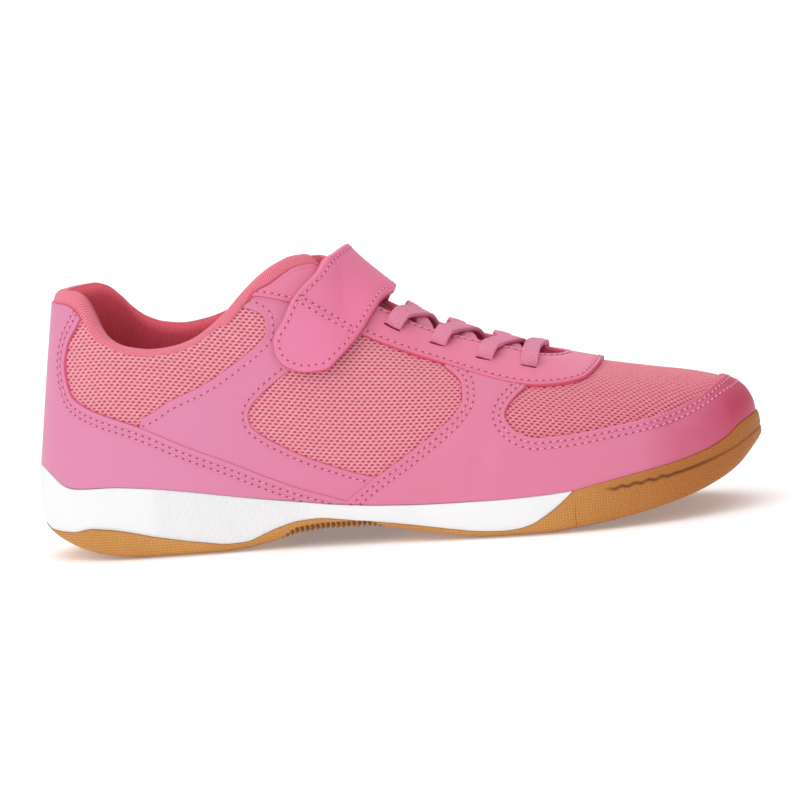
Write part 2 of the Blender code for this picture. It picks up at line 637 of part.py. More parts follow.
PINK = (0.78, 0.28, 0.42)
counter_outline = list(COUNTER_EDGE) + [(97.3, 0.0), (-20.0, 0.0), (-20.0, 110.0), (25.0, 110.0)]
overlay("heel_counter", 1.0, counter_outline, material("counter_leather", PINK, 0.45))
quarter_outline = list(QUARTER_WINDOW) + shifted(EYESTAY_EDGE[4::-1], -0.1, -0.4)
quarter_outline += list(COLLAR_WINDOW[::-1]) + shifted(COUNTER_EDGE[7:13], 0.2, 0.4) + [(100.9, 14.2)]
QUARTER_LEATHER = material("quarter_leather", PINK, 0.45)
overlay("quarter_outer", 0.8, quarter_outline, QUARTER_LEATHER, -WIDE, 0.0)
overlay("quarter_inner", 0.8, quarter_outline, QUARTER_LEATHER.copy(), 0.0, WIDE)
forepart_outline = shifted(FOREPART_BACK, 0.5, -0.1) + shifted(EYESTAY_EDGE[8:11], 0.0, -0.4)
forepart_outline += list(TOE_WINDOW) + [(240.0, 60.0), (240.0, 0.0), (98.0, 0.0)]
overlay("forepart", 1.0, forepart_outline, material("forepart_leather", PINK, 0.45))
eyestay_outline = list(EYESTAY_EDGE) + [(180.0, 120.0), (66.0, 120.0)]
overlay("eyestay", 1.2, eyestay_outline, material("eyestay_leather", (0.78, 0.25, 0.38), 0.45))

STRAP_HEIGHT, STRAP_THICKNESS = 2.5, 2.2
STRAP_COLUMNS = [c for c in COLUMNS if 0.31 <= c <= 0.61]


def strap_start(side, station):
    return 0.25


def strap_end(side, station):
    """The strap's slab closes over the instep and stays open round the ankle behind it."""
    return 1.0 if station > 0.464 else 0.999


strap = patch("strap", STRAP_HEIGHT, STRAP_HEIGHT + STRAP_THICKNESS, STRAP_COLUMNS, strap_start, strap_end,
              SHOE, material("strap_leather", PINK, 0.45))
cut(strap, prism("strap_outline", STRAP_EDGE, -WIDE, WIDE), "INTERSECT")

# Lace holes on the outer side: x, distance from the middle of the instep.
LACE_HOLES = ((116.5, 16.5), (130.0, 16.5), (144.0, 18.5), (157.5, 18.5))
LACE_WIDTH, LACE_HEIGHT, LACE_THICKNESS = 5.3, 1.9, 1.3
LACE_COLUMNS = [c for c in COLUMNS if 0.5 <= c <= 0.75]


def lace_start(side, station):
    return 0.5


def lace_band(name, first, last):
    """A cutter that keeps one lace, seen from above."""
    first, last = np.array(first), np.array(last)
    along = (last - first) / np.linalg.norm(last - first)
    across = np.array((-along[1], along[0])) * LACE_WIDTH / 2.0
    corners = [first - across, last - across, last + across, first + across]
    points = [(*corner, z) for z in (20.0, 120.0) for corner in corners]
    faces = [(0, 1, 2, 3), (4, 5, 6, 7), (0, 1, 5, 4), (1, 2, 6, 5), (2, 3, 7, 6), (3, 0, 4, 7)]
    return cutter(name, points, faces)


def lace_hole(number, side):
    x, away = LACE_HOLES[number]
    return x, float(ridge_side(x)) + side * away


laces = patch("laces", LACE_HEIGHT, LACE_HEIGHT + LACE_THICKNESS, LACE_COLUMNS, lace_start, closing,
              SHOE, material("lace_elastic", (0.68, 0.18, 0.36), 0.8))
lattice = lace_band("lace_bar", lace_hole(3, OUTER), lace_hole(3, INNER))
for number in range(3):
    for side in SIDES:
        band = lace_band("lace_%d_%d" % (number, side + 1), lace_hole(number, side), lace_hole(number + 1, -side))
        cut(lattice, band, "UNION")
cut(laces, lattice, "INTERSECT")
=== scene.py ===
"""Looks of the indoor court shoe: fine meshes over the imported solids, their materials, light and camera.

Sizes are in millimetres, x from the heel towards the toe, y negative on the outer side of the foot,
z up from the floor, as in the part's source. They turn into metres about the middle of the sole.
"""

import math

import bmesh
import bpy
import numpy as np
from mathutils import Matrix, Vector
from mathutils.bvhtree import BVHTree
from mathutils.geometry import delaunay_2d_cdt
from mathutils.kdtree import KDTree


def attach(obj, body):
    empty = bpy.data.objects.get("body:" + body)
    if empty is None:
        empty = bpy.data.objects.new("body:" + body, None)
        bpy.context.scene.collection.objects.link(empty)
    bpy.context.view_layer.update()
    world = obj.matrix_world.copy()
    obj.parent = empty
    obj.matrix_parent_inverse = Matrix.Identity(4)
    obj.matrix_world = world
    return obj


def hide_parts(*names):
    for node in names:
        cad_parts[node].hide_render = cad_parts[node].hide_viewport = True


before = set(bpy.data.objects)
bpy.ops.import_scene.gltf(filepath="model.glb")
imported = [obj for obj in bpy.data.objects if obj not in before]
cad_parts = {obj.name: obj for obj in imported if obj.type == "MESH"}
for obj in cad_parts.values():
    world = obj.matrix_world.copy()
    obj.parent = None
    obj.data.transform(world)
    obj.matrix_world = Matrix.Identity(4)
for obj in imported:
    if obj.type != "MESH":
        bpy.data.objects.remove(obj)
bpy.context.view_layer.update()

MM = 0.001
OUTER, INNER = -1, 1
SIDES = (OUTER, INNER)

WALL = 2.1
COLLAR_PAD = 3.8
COLLAR_PAD_DEPTH = 24.0
FEATHER_INSET = 2.3
CUP_INSET = 2.0
INSOLE_THICKNESS = 3.4
TONGUE_THICKNESS = 3.0
THROAT_FRONT = 167.0
THROAT_ROUND = 9.0
GAP = 0.3

# Plan of the sole: x, y, round from the heel along the outer side to the toe and back.
SOLE_PLAN = (
    (0.0, 0.0), (7.0, -16.5), (24.0, -27.5), (48.0, -30.2), (78.0, -29.8), (106.0, -32.0),
    (130.0, -37.0), (152.0, -40.3), (174.0, -39.6), (194.0, -34.0), (210.0, -24.0), (220.5, -11.0),
    (225.0, 5.0),
    (221.5, 19.0), (212.0, 30.0), (197.0, 37.5), (178.0, 40.6), (158.0, 38.8), (136.0, 33.0),
    (112.0, 28.0), (86.0, 27.0), (60.0, 29.0), (40.0, 30.0), (22.0, 26.8), (7.0, 16.5))
TOE_POINT = 12

# Side lines of the sole: x, height.
BOTTOM_LINE = (
    (0.0, 9.5), (4.0, 6.9), (9.0, 4.7), (14.0, 2.9), (20.0, 1.4), (26.0, 0.5), (32.0, 0.0), (60.0, 0.0),
    (68.0, 0.6), (75.0, 1.9), (86.0, 4.1), (94.0, 4.7), (103.0, 4.7), (112.0, 4.0), (120.0, 2.7),
    (128.0, 1.5), (135.0, 0.5), (141.0, 0.0), (161.0, 0.0), (172.0, 0.9), (186.0, 2.5), (200.0, 5.0),
    (208.0, 7.0), (215.0, 9.5), (220.0, 12.2), (225.0, 17.0))
SPLIT_LINE = (
    (-2.0, 12.0), (1.5, 11.2), (6.0, 9.3), (13.0, 9.0), (20.0, 10.1), (26.0, 9.7), (42.0, 6.4), (54.0, 4.2),
    (63.0, 3.0), (68.0, 3.2), (74.0, 5.3), (79.0, 7.1), (85.0, 8.5), (91.0, 8.9), (98.0, 8.2), (110.0, 6.6),
    (123.0, 5.0), (133.0, 3.5), (140.0, 2.6), (148.0, 2.2), (153.0, 2.6), (157.0, 3.6), (161.5, 5.9),
    (165.5, 8.6), (171.0, 13.4), (173.0, 15.6))
FEATHER_LINE = (
    (0.0, 29.0), (2.5, 28.4), (5.5, 26.6), (8.5, 24.3), (11.5, 22.8), (15.0, 22.3), (27.0, 22.6),
    (36.0, 22.0), (49.0, 20.3), (61.0, 18.2), (73.0, 16.1), (86.0, 14.2), (98.0, 12.6), (110.0, 11.7),
    (123.0, 11.4), (148.0, 11.7), (160.0, 12.1), (171.0, 12.9), (178.0, 14.2), (190.0, 16.2), (202.0, 18.1),
    (211.0, 20.3), (217.0, 22.9), (221.0, 25.8), (225.0, 27.6))
FOOTBED_LINE = (
    (0.0, 16.6), (30.0, 16.2), (60.0, 13.4), (88.0, 9.9), (110.0, 7.9), (140.0, 6.9), (160.0, 7.1),
    (175.0, 8.5), (190.0, 10.8), (205.0, 13.8), (217.0, 16.4), (225.0, 18.0))

# Side lines of the upper: x, height of the top of the collar on each side, and of the instep ridge.
OUTER_RIM = (
    (10.0, 82.3), (16.0, 82.3), (20.0, 80.8), (23.0, 76.6), (26.0, 71.4), (30.0, 67.2), (36.0, 64.6),
    (44.0, 63.5), (50.0, 63.9), (56.0, 65.4), (62.0, 68.7), (68.0, 73.4), (74.0, 79.2), (80.0, 84.2),
    (85.0, 87.0), (89.0, 88.3), (92.0, 88.4), (95.0, 87.4), (99.0, 84.2), (104.0, 79.0))
INNER_RIM = (
    (10.0, 82.3), (18.0, 82.3), (22.0, 81.0), (26.0, 77.4), (30.0, 72.8), (34.0, 69.6), (39.0, 67.4),
    (46.0, 66.4), (53.0, 67.2), (60.0, 69.2), (67.0, 72.6), (74.0, 77.0), (80.0, 80.8),
    (85.0, 83.4), (89.0, 84.8), (92.0, 85.0), (95.0, 84.4), (99.0, 82.2), (104.0, 78.0))
RIDGE_LINE = (
    (92.0, 97.0), (95.5, 91.5), (99.2, 86.5), (106.0, 78.8), (113.0, 71.9), (120.0, 67.0), (126.0, 63.6),
    (133.0, 60.6), (140.0, 58.2), (147.0, 55.7), (154.4, 53.1), (169.0, 48.7), (178.0, 46.4),
    (187.0, 44.5), (196.0, 42.8), (205.0, 41.3), (213.0, 40.0))
RIDGE_SIDE = ((90.0, 0.0), (120.0, 0.6), (160.0, 2.0), (200.0, 3.4))
THROAT_HALF = (
    (88.0, 15.5), (96.0, 14.5), (106.0, 12.6), (118.0, 10.8), (130.0, 9.8), (150.0, 9.0), (170.0, 9.0))

# Sections of the upper's wall by station, the share of the way along the sole's edge from heel to toe:
# where the section ends on the ankle or the ridge, how far and which way it sets off from the sole
# (rise, flare in degrees) and how far and how steeply it comes in at the top (reach, fall in degrees).
STATION, TOP_X, TOP_Y, TOP_Z, RISE, FLARE, REACH, FALL = range(8)
WALL_SECTIONS = (
    (0.000, 14.5, 0.0, 100.0, 25.0, -10.0, 25.0, 78.0),
    (0.060, 16.2, 7.4, 100.0, 25.0, -6.0, 26.0, 80.0),
    (0.120, 21.5, 14.8, 100.0, 24.0, 0.0, 28.0, 83.0),
    (0.180, 32.0, 21.2, 100.0, 22.0, 4.0, 30.0, 86.0),
    (0.250, 48.0, 24.5, 100.0, 22.0, 6.0, 30.0, 87.0),
    (0.320, 63.0, 23.0, 100.0, 25.0, 6.0, 29.0, 82.0),
    (0.380, 76.0, 18.0, 99.5, 29.0, 5.0, 25.0, 68.0),
    (0.420, 85.5, 10.5, 98.5, 32.0, 4.0, 21.0, 42.0),
    (0.450, 91.5, 3.5, 97.0, 33.0, 4.0, 19.0, 12.0),
    (0.465, 94.4, 0.0, 93.2, 33.0, 4.0, 18.0, 3.0),
    (0.480, 97.8, 0.0, 88.3, 33.0, 4.0, 18.0, 1.0),
    (0.510, 106.0, 0.0, 78.8, 32.0, 4.0, 18.0, 0.0),
    (0.550, 121.0, 0.0, 66.4, 28.0, 4.0, 19.0, 0.0),
    (0.590, 136.0, 0.0, 59.5, 24.0, 5.0, 21.0, 0.0),
    (0.636, 151.0, 0.0, 54.4, 20.0, 6.0, 23.0, 0.0),
    (0.700, 165.0, 0.0, 49.8, 17.0, 7.0, 24.0, 0.0),
    (0.760, 174.5, 0.0, 47.2, 15.0, 7.0, 24.0, 0.0),
    (0.820, 183.0, 0.0, 45.3, 13.5, 5.0, 23.5, 0.0),
    (0.880, 189.0, 0.0, 44.1, 12.0, 1.0, 23.0, 0.0),
    (0.940, 193.0, 0.0, 43.4, 10.5, -3.0, 21.0, 0.0),
    (1.000, 194.5, 0.0, 43.1, 10.0, -4.0, 19.0, 0.0))
STATIONS = np.linspace(0.0, 1.0, 2001)
ANKLE_FRONT, ANKLE_FADE = (0.36, 0.58), 0.05
SHOULDER_EASE, TOP_EASE = 0.02, 0.012
PAD_FRONT, PAD_FADE, THROAT_BACK = 0.425, 0.1, 0.43
RIM_STEP = 0.01

# Edges of the overlays in side view: x, height.
COUNTER_EDGE = (
    (25.0, 79.0), (20.6, 71.9), (17.1, 66.6), (15.3, 59.5), (16.8, 51.4), (20.6, 48.0), (26.1, 45.4),
    (38.7, 40.6), (53.3, 33.4), (65.4, 28.0), (75.3, 23.2), (86.0, 18.6), (96.2, 15.1), (104.0, 12.6))
COLLAR_WINDOW = (
    (38.9, 43.4), (41.5, 44.3), (47.3, 47.6), (59.1, 52.2), (69.6, 58.2), (76.3, 62.9), (79.4, 66.6),
    (79.4, 70.2), (76.6, 73.0), (72.5, 74.4), (66.0, 77.0))
QUARTER_WINDOW = (
    (109.1, 20.6), (104.7, 21.8), (97.2, 24.5), (89.2, 27.8), (81.9, 31.7), (75.6, 35.8), (72.7, 39.0),
    (72.3, 41.7), (73.8, 44.8), (78.3, 48.9), (86.0, 54.2), (97.3, 60.0), (105.2, 63.5))
FOREPART_BACK = (
    (97.0, 11.6), (109.9, 20.3), (118.8, 25.6), (124.2, 29.1), (130.3, 33.1), (135.8, 37.6), (138.0, 41.4),
    (137.7, 45.4), (135.2, 48.6), (132.4, 50.8))
EYESTAY_EDGE = (
    (66.0, 81.5), (76.8, 77.8), (81.8, 76.4), (87.8, 74.2), (96.0, 70.0), (108.0, 62.4), (119.6, 56.6),
    (131.8, 51.7), (139.1, 48.8), (149.4, 45.1), (156.9, 43.2), (162.0, 42.5), (169.3, 42.4), (175.3, 43.1))
TOE_WINDOW = (
    (157.0, 42.6), (154.0, 40.3), (151.9, 37.9), (151.1, 35.7), (152.3, 33.2), (155.1, 30.7), (161.0, 28.8),
    (169.3, 28.9), (181.2, 29.9), (194.8, 31.4), (201.8, 32.9), (208.4, 35.2))
EYESTAY_FRONT, TOE_CAP = 178.8, 214.6
# Edges hidden under a neighbour, and how far others are moved under theirs.
QUARTER_CORNER = ((101.0, 12.4), (106.0, 13.0), (113.0, 20.0))
FOREPART_TUCK = ((133.5, 53.0), (146.0, 48.8), (156.5, 46.0), (158.0, 44.5))
UNDER_EYESTAY, UNDER_COUNTER = (1.0, 2.5), (-1.2, -2.4)
STRAP_BACK = ((102.9, 89.8), (96.2, 83.6), (88.2, 75.6), (85.1, 69.7), (81.9, 64.2))
STRAP_END = ((81.9, 64.2), (82.2, 60.0), (84.8, 56.0), (91.0, 53.6), (97.5, 53.8), (101.8, 57.0))
STRAP_FRONT = ((101.8, 57.0), (107.8, 63.0), (112.8, 70.0), (117.0, 74.8))


def smooth_line(table, across=0, up=1):
    """A curve through a table's points that never swings past them."""
    xs = np.array([row[across] for row in table], float)
    ys = np.array([row[up] for row in table], float)
    step = np.diff(xs)
    grade = np.diff(ys) / step
    slope = np.concatenate((grade[:1], np.zeros(len(grade) - 1), grade[-1:]))
    for i in range(1, len(grade)):
        if grade[i - 1] * grade[i] > 0.0:
            near = 2.0 * step[i] + step[i - 1]
            far = step[i] + 2.0 * step[i - 1]
            slope[i] = (near + far) / (near / grade[i - 1] + far / grade[i])

    def at(x):
        x = np.clip(x, xs[0], xs[-1])
        i = np.clip(np.searchsorted(xs, x, side="right") - 1, 0, len(step) - 1)
        t = (x - xs[i]) / step[i]
        ends = ys[i] * (1.0 + 2.0 * t) * (1.0 - t) ** 2 + ys[i + 1] * t * t * (3.0 - 2.0 * t)
        return ends + step[i] * t * (1.0 - t) * (slope[i] * (1.0 - t) - slope[i + 1] * t)

    return at


bottom_line = smooth_line(BOTTOM_LINE)
split_line = smooth_line(SPLIT_LINE)
feather_line = smooth_line(FEATHER_LINE)
footbed_line = smooth_line(FOOTBED_LINE)
ridge_line = smooth_line(RIDGE_LINE)
ridge_side = smooth_line(RIDGE_SIDE)
throat_line = smooth_line(THROAT_HALF)
rim_line = {OUTER: smooth_line(OUTER_RIM), INNER: smooth_line(INNER_RIM)}
section = [smooth_line(WALL_SECTIONS, STATION, column) for column in range(8)]


def ease(t):
    """From 0 to 1 with a soft start and end."""
    t = np.clip(t, 0.0, 1.0)
    return t * t * (3.0 - 2.0 * t)


def unit(vectors):
    """Directions of vectors, each with a length of 1."""
    return vectors / np.maximum(np.linalg.norm(vectors, axis=-1, keepdims=True), 1e-9)


def run_length(points):
    """How far along a line each of its points lies."""
    return np.concatenate(([0.0], np.cumsum(np.linalg.norm(np.diff(points, axis=0), axis=1))))


def first_hit(test, low, high, halvings=40):
    """Where a test first holds on the way from low to high."""
    for _ in range(halvings):
        mid = (low + high) / 2.0
        hit = test(mid)
        low, high = np.where(hit, low, mid), np.where(hit, mid, high)
    return high


# Points of the sole's smooth plan from one of its given points to the next.
PER_SPAN = 40


def sole_sides(points):
    """The plan as a smooth closed curve, split into two sides that run from heel to toe."""
    knots = np.array(points, float)
    count = len(knots)
    t = (np.arange(PER_SPAN) / PER_SPAN)[:, None]
    spans = []
    for i in range(count):
        a, b, c, d = knots[i - 1], knots[i], knots[(i + 1) % count], knots[(i + 2) % count]
        bend = (2.0 * a - 5.0 * b + 4.0 * c - d) * t ** 2 + (3.0 * b - a - 3.0 * c + d) * t ** 3
        spans.append(0.5 * (2.0 * b + (c - a) * t + bend))
    ring = np.concatenate(spans)
    along = np.roll(ring, -1, axis=0) - np.roll(ring, 1, axis=0)
    outward = unit(np.stack((along[:, 1], -along[:, 0]), axis=1))
    toe = TOE_POINT * PER_SPAN
    order = {OUTER: np.arange(toe + 1), INNER: np.arange(len(ring), toe - 1, -1) % len(ring)}
    sides = {}
    for side in SIDES:
        path = ring[order[side]]
        run = run_length(path)
        sides[side] = (run / run[-1], path, outward[order[side]])
    return sides


SOLE_SIDES = sole_sides(SOLE_PLAN)
PLAN_LOW = np.min([path.min(axis=0) for _, path, _ in SOLE_SIDES.values()], axis=0)
PLAN_HIGH = np.max([path.max(axis=0) for _, path, _ in SOLE_SIDES.values()], axis=0)
MIDDLE = np.array([*(PLAN_LOW + PLAN_HIGH) / 2.0, 0.0])


def outline(side, station):
    """Plan point and outward direction at a station of the sole's edge."""
    share, path, outward = SOLE_SIDES[side]
    point = np.stack([np.interp(station, share, path[:, k]) for k in (0, 1)], axis=-1)
    normal = np.stack([np.interp(station, share, outward[:, k]) for k in (0, 1)], axis=-1)
    return point, unit(normal)


def ridge_slope(x):
    """Rise of the instep ridge per millimetre towards the toe."""
    return (ridge_line(x + 1.0) - ridge_line(x - 1.0)) / 2.0


def section_controls(side, station):
    """The four control points of the curve that makes each section of the upper's wall."""
    plan, outward = outline(side, station)
    foot_plan = plan - FEATHER_INSET * outward
    foot = np.column_stack((foot_plan, feather_line(plan[:, 0])))
    top_x = section[TOP_X](station)
    top_y = ridge_side(top_x) + side * section[TOP_Y](station)
    top = np.column_stack((top_x, top_y, section[TOP_Z](station)))
    flare = np.radians(section[FLARE](station))
    rise = section[RISE](station)[:, None]
    lift = np.column_stack((outward * np.sin(flare)[:, None], np.cos(flare)))
    fall = np.radians(section[FALL](station))
    reach = section[REACH](station)[:, None]
    towards = unit(foot_plan - top[:, :2])
    flat = np.cos(fall)
    drop = ridge_slope(top_x) * towards[:, 0] * flat - np.sin(fall)
    entry = np.column_stack((towards * flat[:, None], drop))
    return foot, foot + rise * lift, top + reach * entry, top


def eased(curve, spread):
    """A curve of control points with its sharp turns round the ankle's front smoothed out."""
    low, high = ANKLE_FRONT
    near = ease(np.minimum(STATIONS - low, high - STATIONS) / ANKLE_FADE)
    width = np.maximum(spread * near, 1e-5)[:, None]
    weight = np.exp(-0.5 * ((STATIONS[None, :] - STATIONS[:, None]) / width) ** 2)
    return weight @ curve / weight.sum(axis=1)[:, None]


def wall_controls(side):
    """Control points of all sections of one side; the crest keeps to the middle of the instep."""
    foot, lifted, shoulder, top = section_controls(side, STATIONS)
    crest = eased(top, TOP_EASE)
    crest[:, 1] = top[:, 1]
    return foot, lifted, eased(shoulder, SHOULDER_EASE), crest


WALL_CONTROLS = {side: wall_controls(side) for side in SIDES}


def wall(side, station, share):
    """A point of the upper's outer face: share runs from the sole (0) to the ankle or ridge (1)."""
    station, share = np.broadcast_arrays(np.asarray(station, float), np.asarray(share, float))
    foot, lifted, shoulder, top = [
        np.stack([np.interp(station, STATIONS, curve[:, k]) for k in range(3)], axis=-1)
        for curve in WALL_CONTROLS[side]]
    t = share[..., None]
    low = foot * (1.0 - t) ** 3 + 3.0 * lifted * t * (1.0 - t) ** 2
    return low + 3.0 * shoulder * t * t * (1.0 - t) + top * t ** 3


def wall_normal(side, station, share):
    """Outward direction of the upper's face."""
    step = 0.0015
    low, high = np.clip(station - step, 0.0, 1.0), np.clip(station + step, 0.0, 1.0)
    along = wall(side, high, share) - wall(side, low, share)
    low, high = np.clip(share - step, 0.0, 1.0), np.clip(share + step, 0.0, 1.0)
    up = wall(side, station, high) - wall(side, station, low)
    return unit(-side * np.cross(along, up))


def skin(side, station, share, offset):
    """A point at some height over the upper's outer face; both sides agree where they meet."""
    station, share = np.broadcast_arrays(np.asarray(station, float), np.asarray(share, float))
    normal = wall_normal(side, station, share)
    both = unit(normal + wall_normal(-side, station, share))
    slope = ridge_slope(section[TOP_X](station))
    crest = unit(np.stack((-slope, np.zeros_like(slope), np.ones_like(slope)), axis=-1))
    ends = (station <= 0.0) | (station >= 1.0)
    normal = np.where(ends[..., None], both, normal)
    normal = np.where((share >= 1.0)[..., None], crest, normal)
    return wall(side, station, share) + normal * np.asarray(offset, float)[..., None]


def collar_pad(station):
    """How much the padding thickens the wall at the collar."""
    return COLLAR_PAD * ease((PAD_FRONT - np.asarray(station, float)) / PAD_FADE)


def throat_half(x):
    """Half the width of the throat opening, rounded off at its front end."""
    t = np.clip((x - THROAT_FRONT + THROAT_ROUND) / THROAT_ROUND, 0.0, 1.0)
    return throat_line(x) * np.sqrt(1.0 - t * t)


def edge_share(side, station):
    """The share at which the wall stops at the collar or the throat; 1 where it closes over the foot."""
    station = np.asarray(station, float)
    half_wall = (WALL + collar_pad(station)) / 2.0

    def past_edge(share):
        x, y, z = np.moveaxis(wall(side, station, share), -1, 0)
        in_throat = (station > THROAT_BACK) & (np.abs(y - ridge_side(x)) <= throat_half(x))
        return in_throat | (z >= rim_line[side](x) - half_wall)

    high = first_hit(past_edge, np.zeros_like(station), np.ones_like(station))
    return np.where(high > 0.9995, 1.0, high)


def up_to_rim(side, stations, end):
    """The last short step up the wall to its rim."""
    return wall(side, stations, end) - wall(side, stations, end - RIM_STEP)


def rim_frame(side, stations):
    """At each station of the rim: its share, the share per millimetre of wall, and the wall's thickness."""
    end = edge_share(side, stations)
    per_share = np.linalg.norm(up_to_rim(side, stations, end), axis=1) / RIM_STEP
    return end, 1.0 / per_share, WALL + collar_pad(stations)


def past_rim(side, stations, rise, lift):
    """Points lifted off the wall at a rise past the collar's edge, turned in over the rounded rim."""
    end, per_mm, thick = rim_frame(side, stations)
    below = skin(side, stations, end + np.minimum(rise, 0.0) * per_mm, lift)
    outside, within = (skin(side, stations, end, height) for height in (np.zeros(len(stations)), -thick))
    centre, radius = (outside + within) / 2.0, thick[:, None] / 2.0
    away = unit(up_to_rim(side, stations, end)) * radius
    turn = np.maximum(rise, 0.0)[:, None] / radius
    bend = (outside - centre) * np.cos(turn) + away * np.sin(turn)
    over = centre + bend * (1.0 + lift[:, None] / radius)
    return np.where((rise > 0.0)[:, None], over, below)


def closing_station():
    """The station at which the throat's front end closes on the ridge."""
    return float(np.interp(THROAT_FRONT, section[TOP_X](STATIONS), STATIONS))


CLOSING = closing_station()


def smooth_path(points, step):
    """A curve through given points, with a point about every step."""
    points = np.asarray(points, float)
    run = run_length(points)
    t = np.linspace(0.0, run[-1], max(3, int(run[-1] / step) + 1))
    table = np.column_stack((run, points))
    return np.column_stack([smooth_line(table, 0, k + 1)(t) for k in range(points.shape[1])])


def tree_of(points):
    """Points sorted for finding the nearest one."""
    tree = KDTree(len(points))
    for i, point in enumerate(points):
        tree.insert(point, i)
    tree.balance()
    return tree


def distance_to(tree, points):
    """How far points are from the nearest point of a tree."""
    return np.array([tree.find(point)[2] for point in points])


def inside(points, polygon):
    """Which points lie inside a closed polygon."""
    x, y = points[:, 0], points[:, 1]
    found = np.zeros(len(points), bool)
    for (ax, ay), (bx, by) in zip(polygon, np.roll(polygon, -1, axis=0)):
        if ay != by:
            crosses = (ay > y) != (by > y)
            found ^= crosses & (x < (bx - ax) * (y - ay) / (by - ay) + ax)
    return found


# A grid over the wall for a first place near a spot of a view, and limits on each step towards the spot.
GUESS_STATIONS, GUESS_SHARES = (grid.ravel() for grid in np.meshgrid(
    np.linspace(0.0, 1.0, 201), np.linspace(0.0, 1.0, 61), indexing="ij"))
SIDE_VIEW, PLAN_VIEW = (0, 2), (0, 1)
STATION_STRIDE, SHARE_STRIDE, CHART_BORDER = 0.02, 0.05, 0.003
LEAST_SPREAD, SETTLE_STEPS = 50.0, 14


def view_tree(side, view):
    """Points over one side of the upper as they show in a view."""
    flat = wall(side, GUESS_STATIONS, GUESS_SHARES)[:, view]
    return tree_of(np.column_stack((flat, np.zeros(len(flat)))))


VIEW_TREES = {(side, view): view_tree(side, view) for side in SIDES for view in (SIDE_VIEW, PLAN_VIEW)}


def tangents(chart, u, v, height=0.0):
    """How the point of a chart moves with each of its two coordinates."""
    step = 0.002
    by_u = chart(u + step, v, height) - chart(u - step, v, height)
    by_v = chart(u, v + step, height) - chart(u, v - step, height)
    return by_u / (2 * step), by_v / (2 * step)


def settle(chart, places, spots, height, view, last_share):
    """Moves places of a chart until they show at some spots of a view."""
    u, v = places.T
    for _ in range(SETTLE_STEPS):
        miss_x, miss_y = (np.asarray(spots) - chart(u, v, height)[:, view]).T
        (a, c), (b, d) = (tangent[:, view].T for tangent in tangents(chart, u, v, height))
        det = a * d - b * c
        det = np.where(np.abs(det) < LEAST_SPREAD, np.where(det < 0.0, -LEAST_SPREAD, LEAST_SPREAD), det)
        by_u = np.clip((d * miss_x - b * miss_y) / det, -STATION_STRIDE, STATION_STRIDE)
        by_v = np.clip((a * miss_y - c * miss_x) / det, -SHARE_STRIDE, SHARE_STRIDE)
        u = np.clip(u + by_u, CHART_BORDER, 1.0 - CHART_BORDER)
        v = np.clip(v + by_v, CHART_BORDER, last_share - CHART_BORDER)
    return np.column_stack((u, v))


def on_wall(side, spots, height=0.0, view=SIDE_VIEW):
    """Station and share of the points that show at some spots of a view, at a height over the wall."""
    near = [VIEW_TREES[side, view].find((*spot, 0.0))[1] for spot in spots]
    places = np.column_stack((GUESS_STATIONS[near], GUESS_SHARES[near]))
    return settle(side_chart(side), places, spots, height, view, 1.0)


def two_sided(station, share, inner, height):
    """Points over the inner side where inner is true, and over the outer side elsewhere."""
    station, share, inner, height = np.broadcast_arrays(station, share, inner, height)
    outer_points = skin(OUTER, station, share, height)
    return np.where(inner[..., None], skin(INNER, station, share, height), outer_points)


def heel_chart(u, v, height):
    """The upper unrolled about the heel: u is the station, negative on the outer side."""
    return two_sided(np.abs(u), v, u > 0.0, height)


def toe_chart(u, v, height):
    """The upper unrolled about the toe: u is 1 less the station, negative on the outer side."""
    return two_sided(1.0 - np.abs(u), v, u > 0.0, height)


def ridge_chart(u, v, height):
    """The upper unrolled over the instep: v is the share, and 2 less the share on the inner side."""
    return two_sided(u, np.where(v > 1.0, 2.0 - v, v), v > 1.0, height)


def rounded_chart(span):
    """The chart over the instep with its crest rounded over a span of shares on each side."""
    low, high, step = 1.0 - span, 1.0 + span, 0.01

    def chart(u, v, height):
        u, v, height = np.broadcast_arrays(u, v, height)
        start, end = ridge_chart(u, low, height), ridge_chart(u, high, height)
        leave = (start - ridge_chart(u, low - step, height)) * 2.0 * span / step
        arrive = (ridge_chart(u, high + step, height) - end) * 2.0 * span / step
        t = np.clip((v - low) / (2.0 * span), 0.0, 1.0)[..., None]
        over = start + (end - start) * ease(t) + leave * t * (1.0 - t) ** 2 - arrive * t * t * (1.0 - t)
        return np.where((np.abs(v - 1.0) < span)[..., None], over, ridge_chart(u, v, height))

    return chart


def side_chart(side):
    """One side of the upper by station and share."""
    return lambda u, v, height: skin(side, u, v, height)


def add_piece(name, points, faces, surface, node, slot, floats=None, uv=None):
    """A smooth mesh piece from points in millimetres, riding on the shoe and standing for a solid."""
    mesh = bpy.data.meshes.new(name)
    places = (np.asarray(points) - MIDDLE) * MM
    mesh.from_pydata(places.tolist(), [], [list(map(int, face)) for face in faces])
    for key, values in (floats or {}).items():
        mesh.attributes.new(key, "FLOAT", "POINT").data.foreach_set("value", np.asarray(values, np.float32))
    if uv is not None:
        corners = np.empty(len(mesh.loops), np.int32)
        mesh.loops.foreach_get("vertex_index", corners)
        layer = mesh.uv_layers.new(name="UVMap")
        layer.data.foreach_set("uv", np.asarray(uv, np.float32)[corners].ravel())
    mesh.polygons.foreach_set("use_smooth", np.ones(len(mesh.polygons), bool))
    mesh.materials.append(surface)
    mesh.validate()
    mesh.update()
    thing = bpy.data.objects.new(name, mesh)
    bpy.context.scene.collection.objects.link(thing)
    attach(thing, "root")
    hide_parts(node)
    return thing


# How near points are joined, in metres.
WELD_DISTANCE = 0.00002


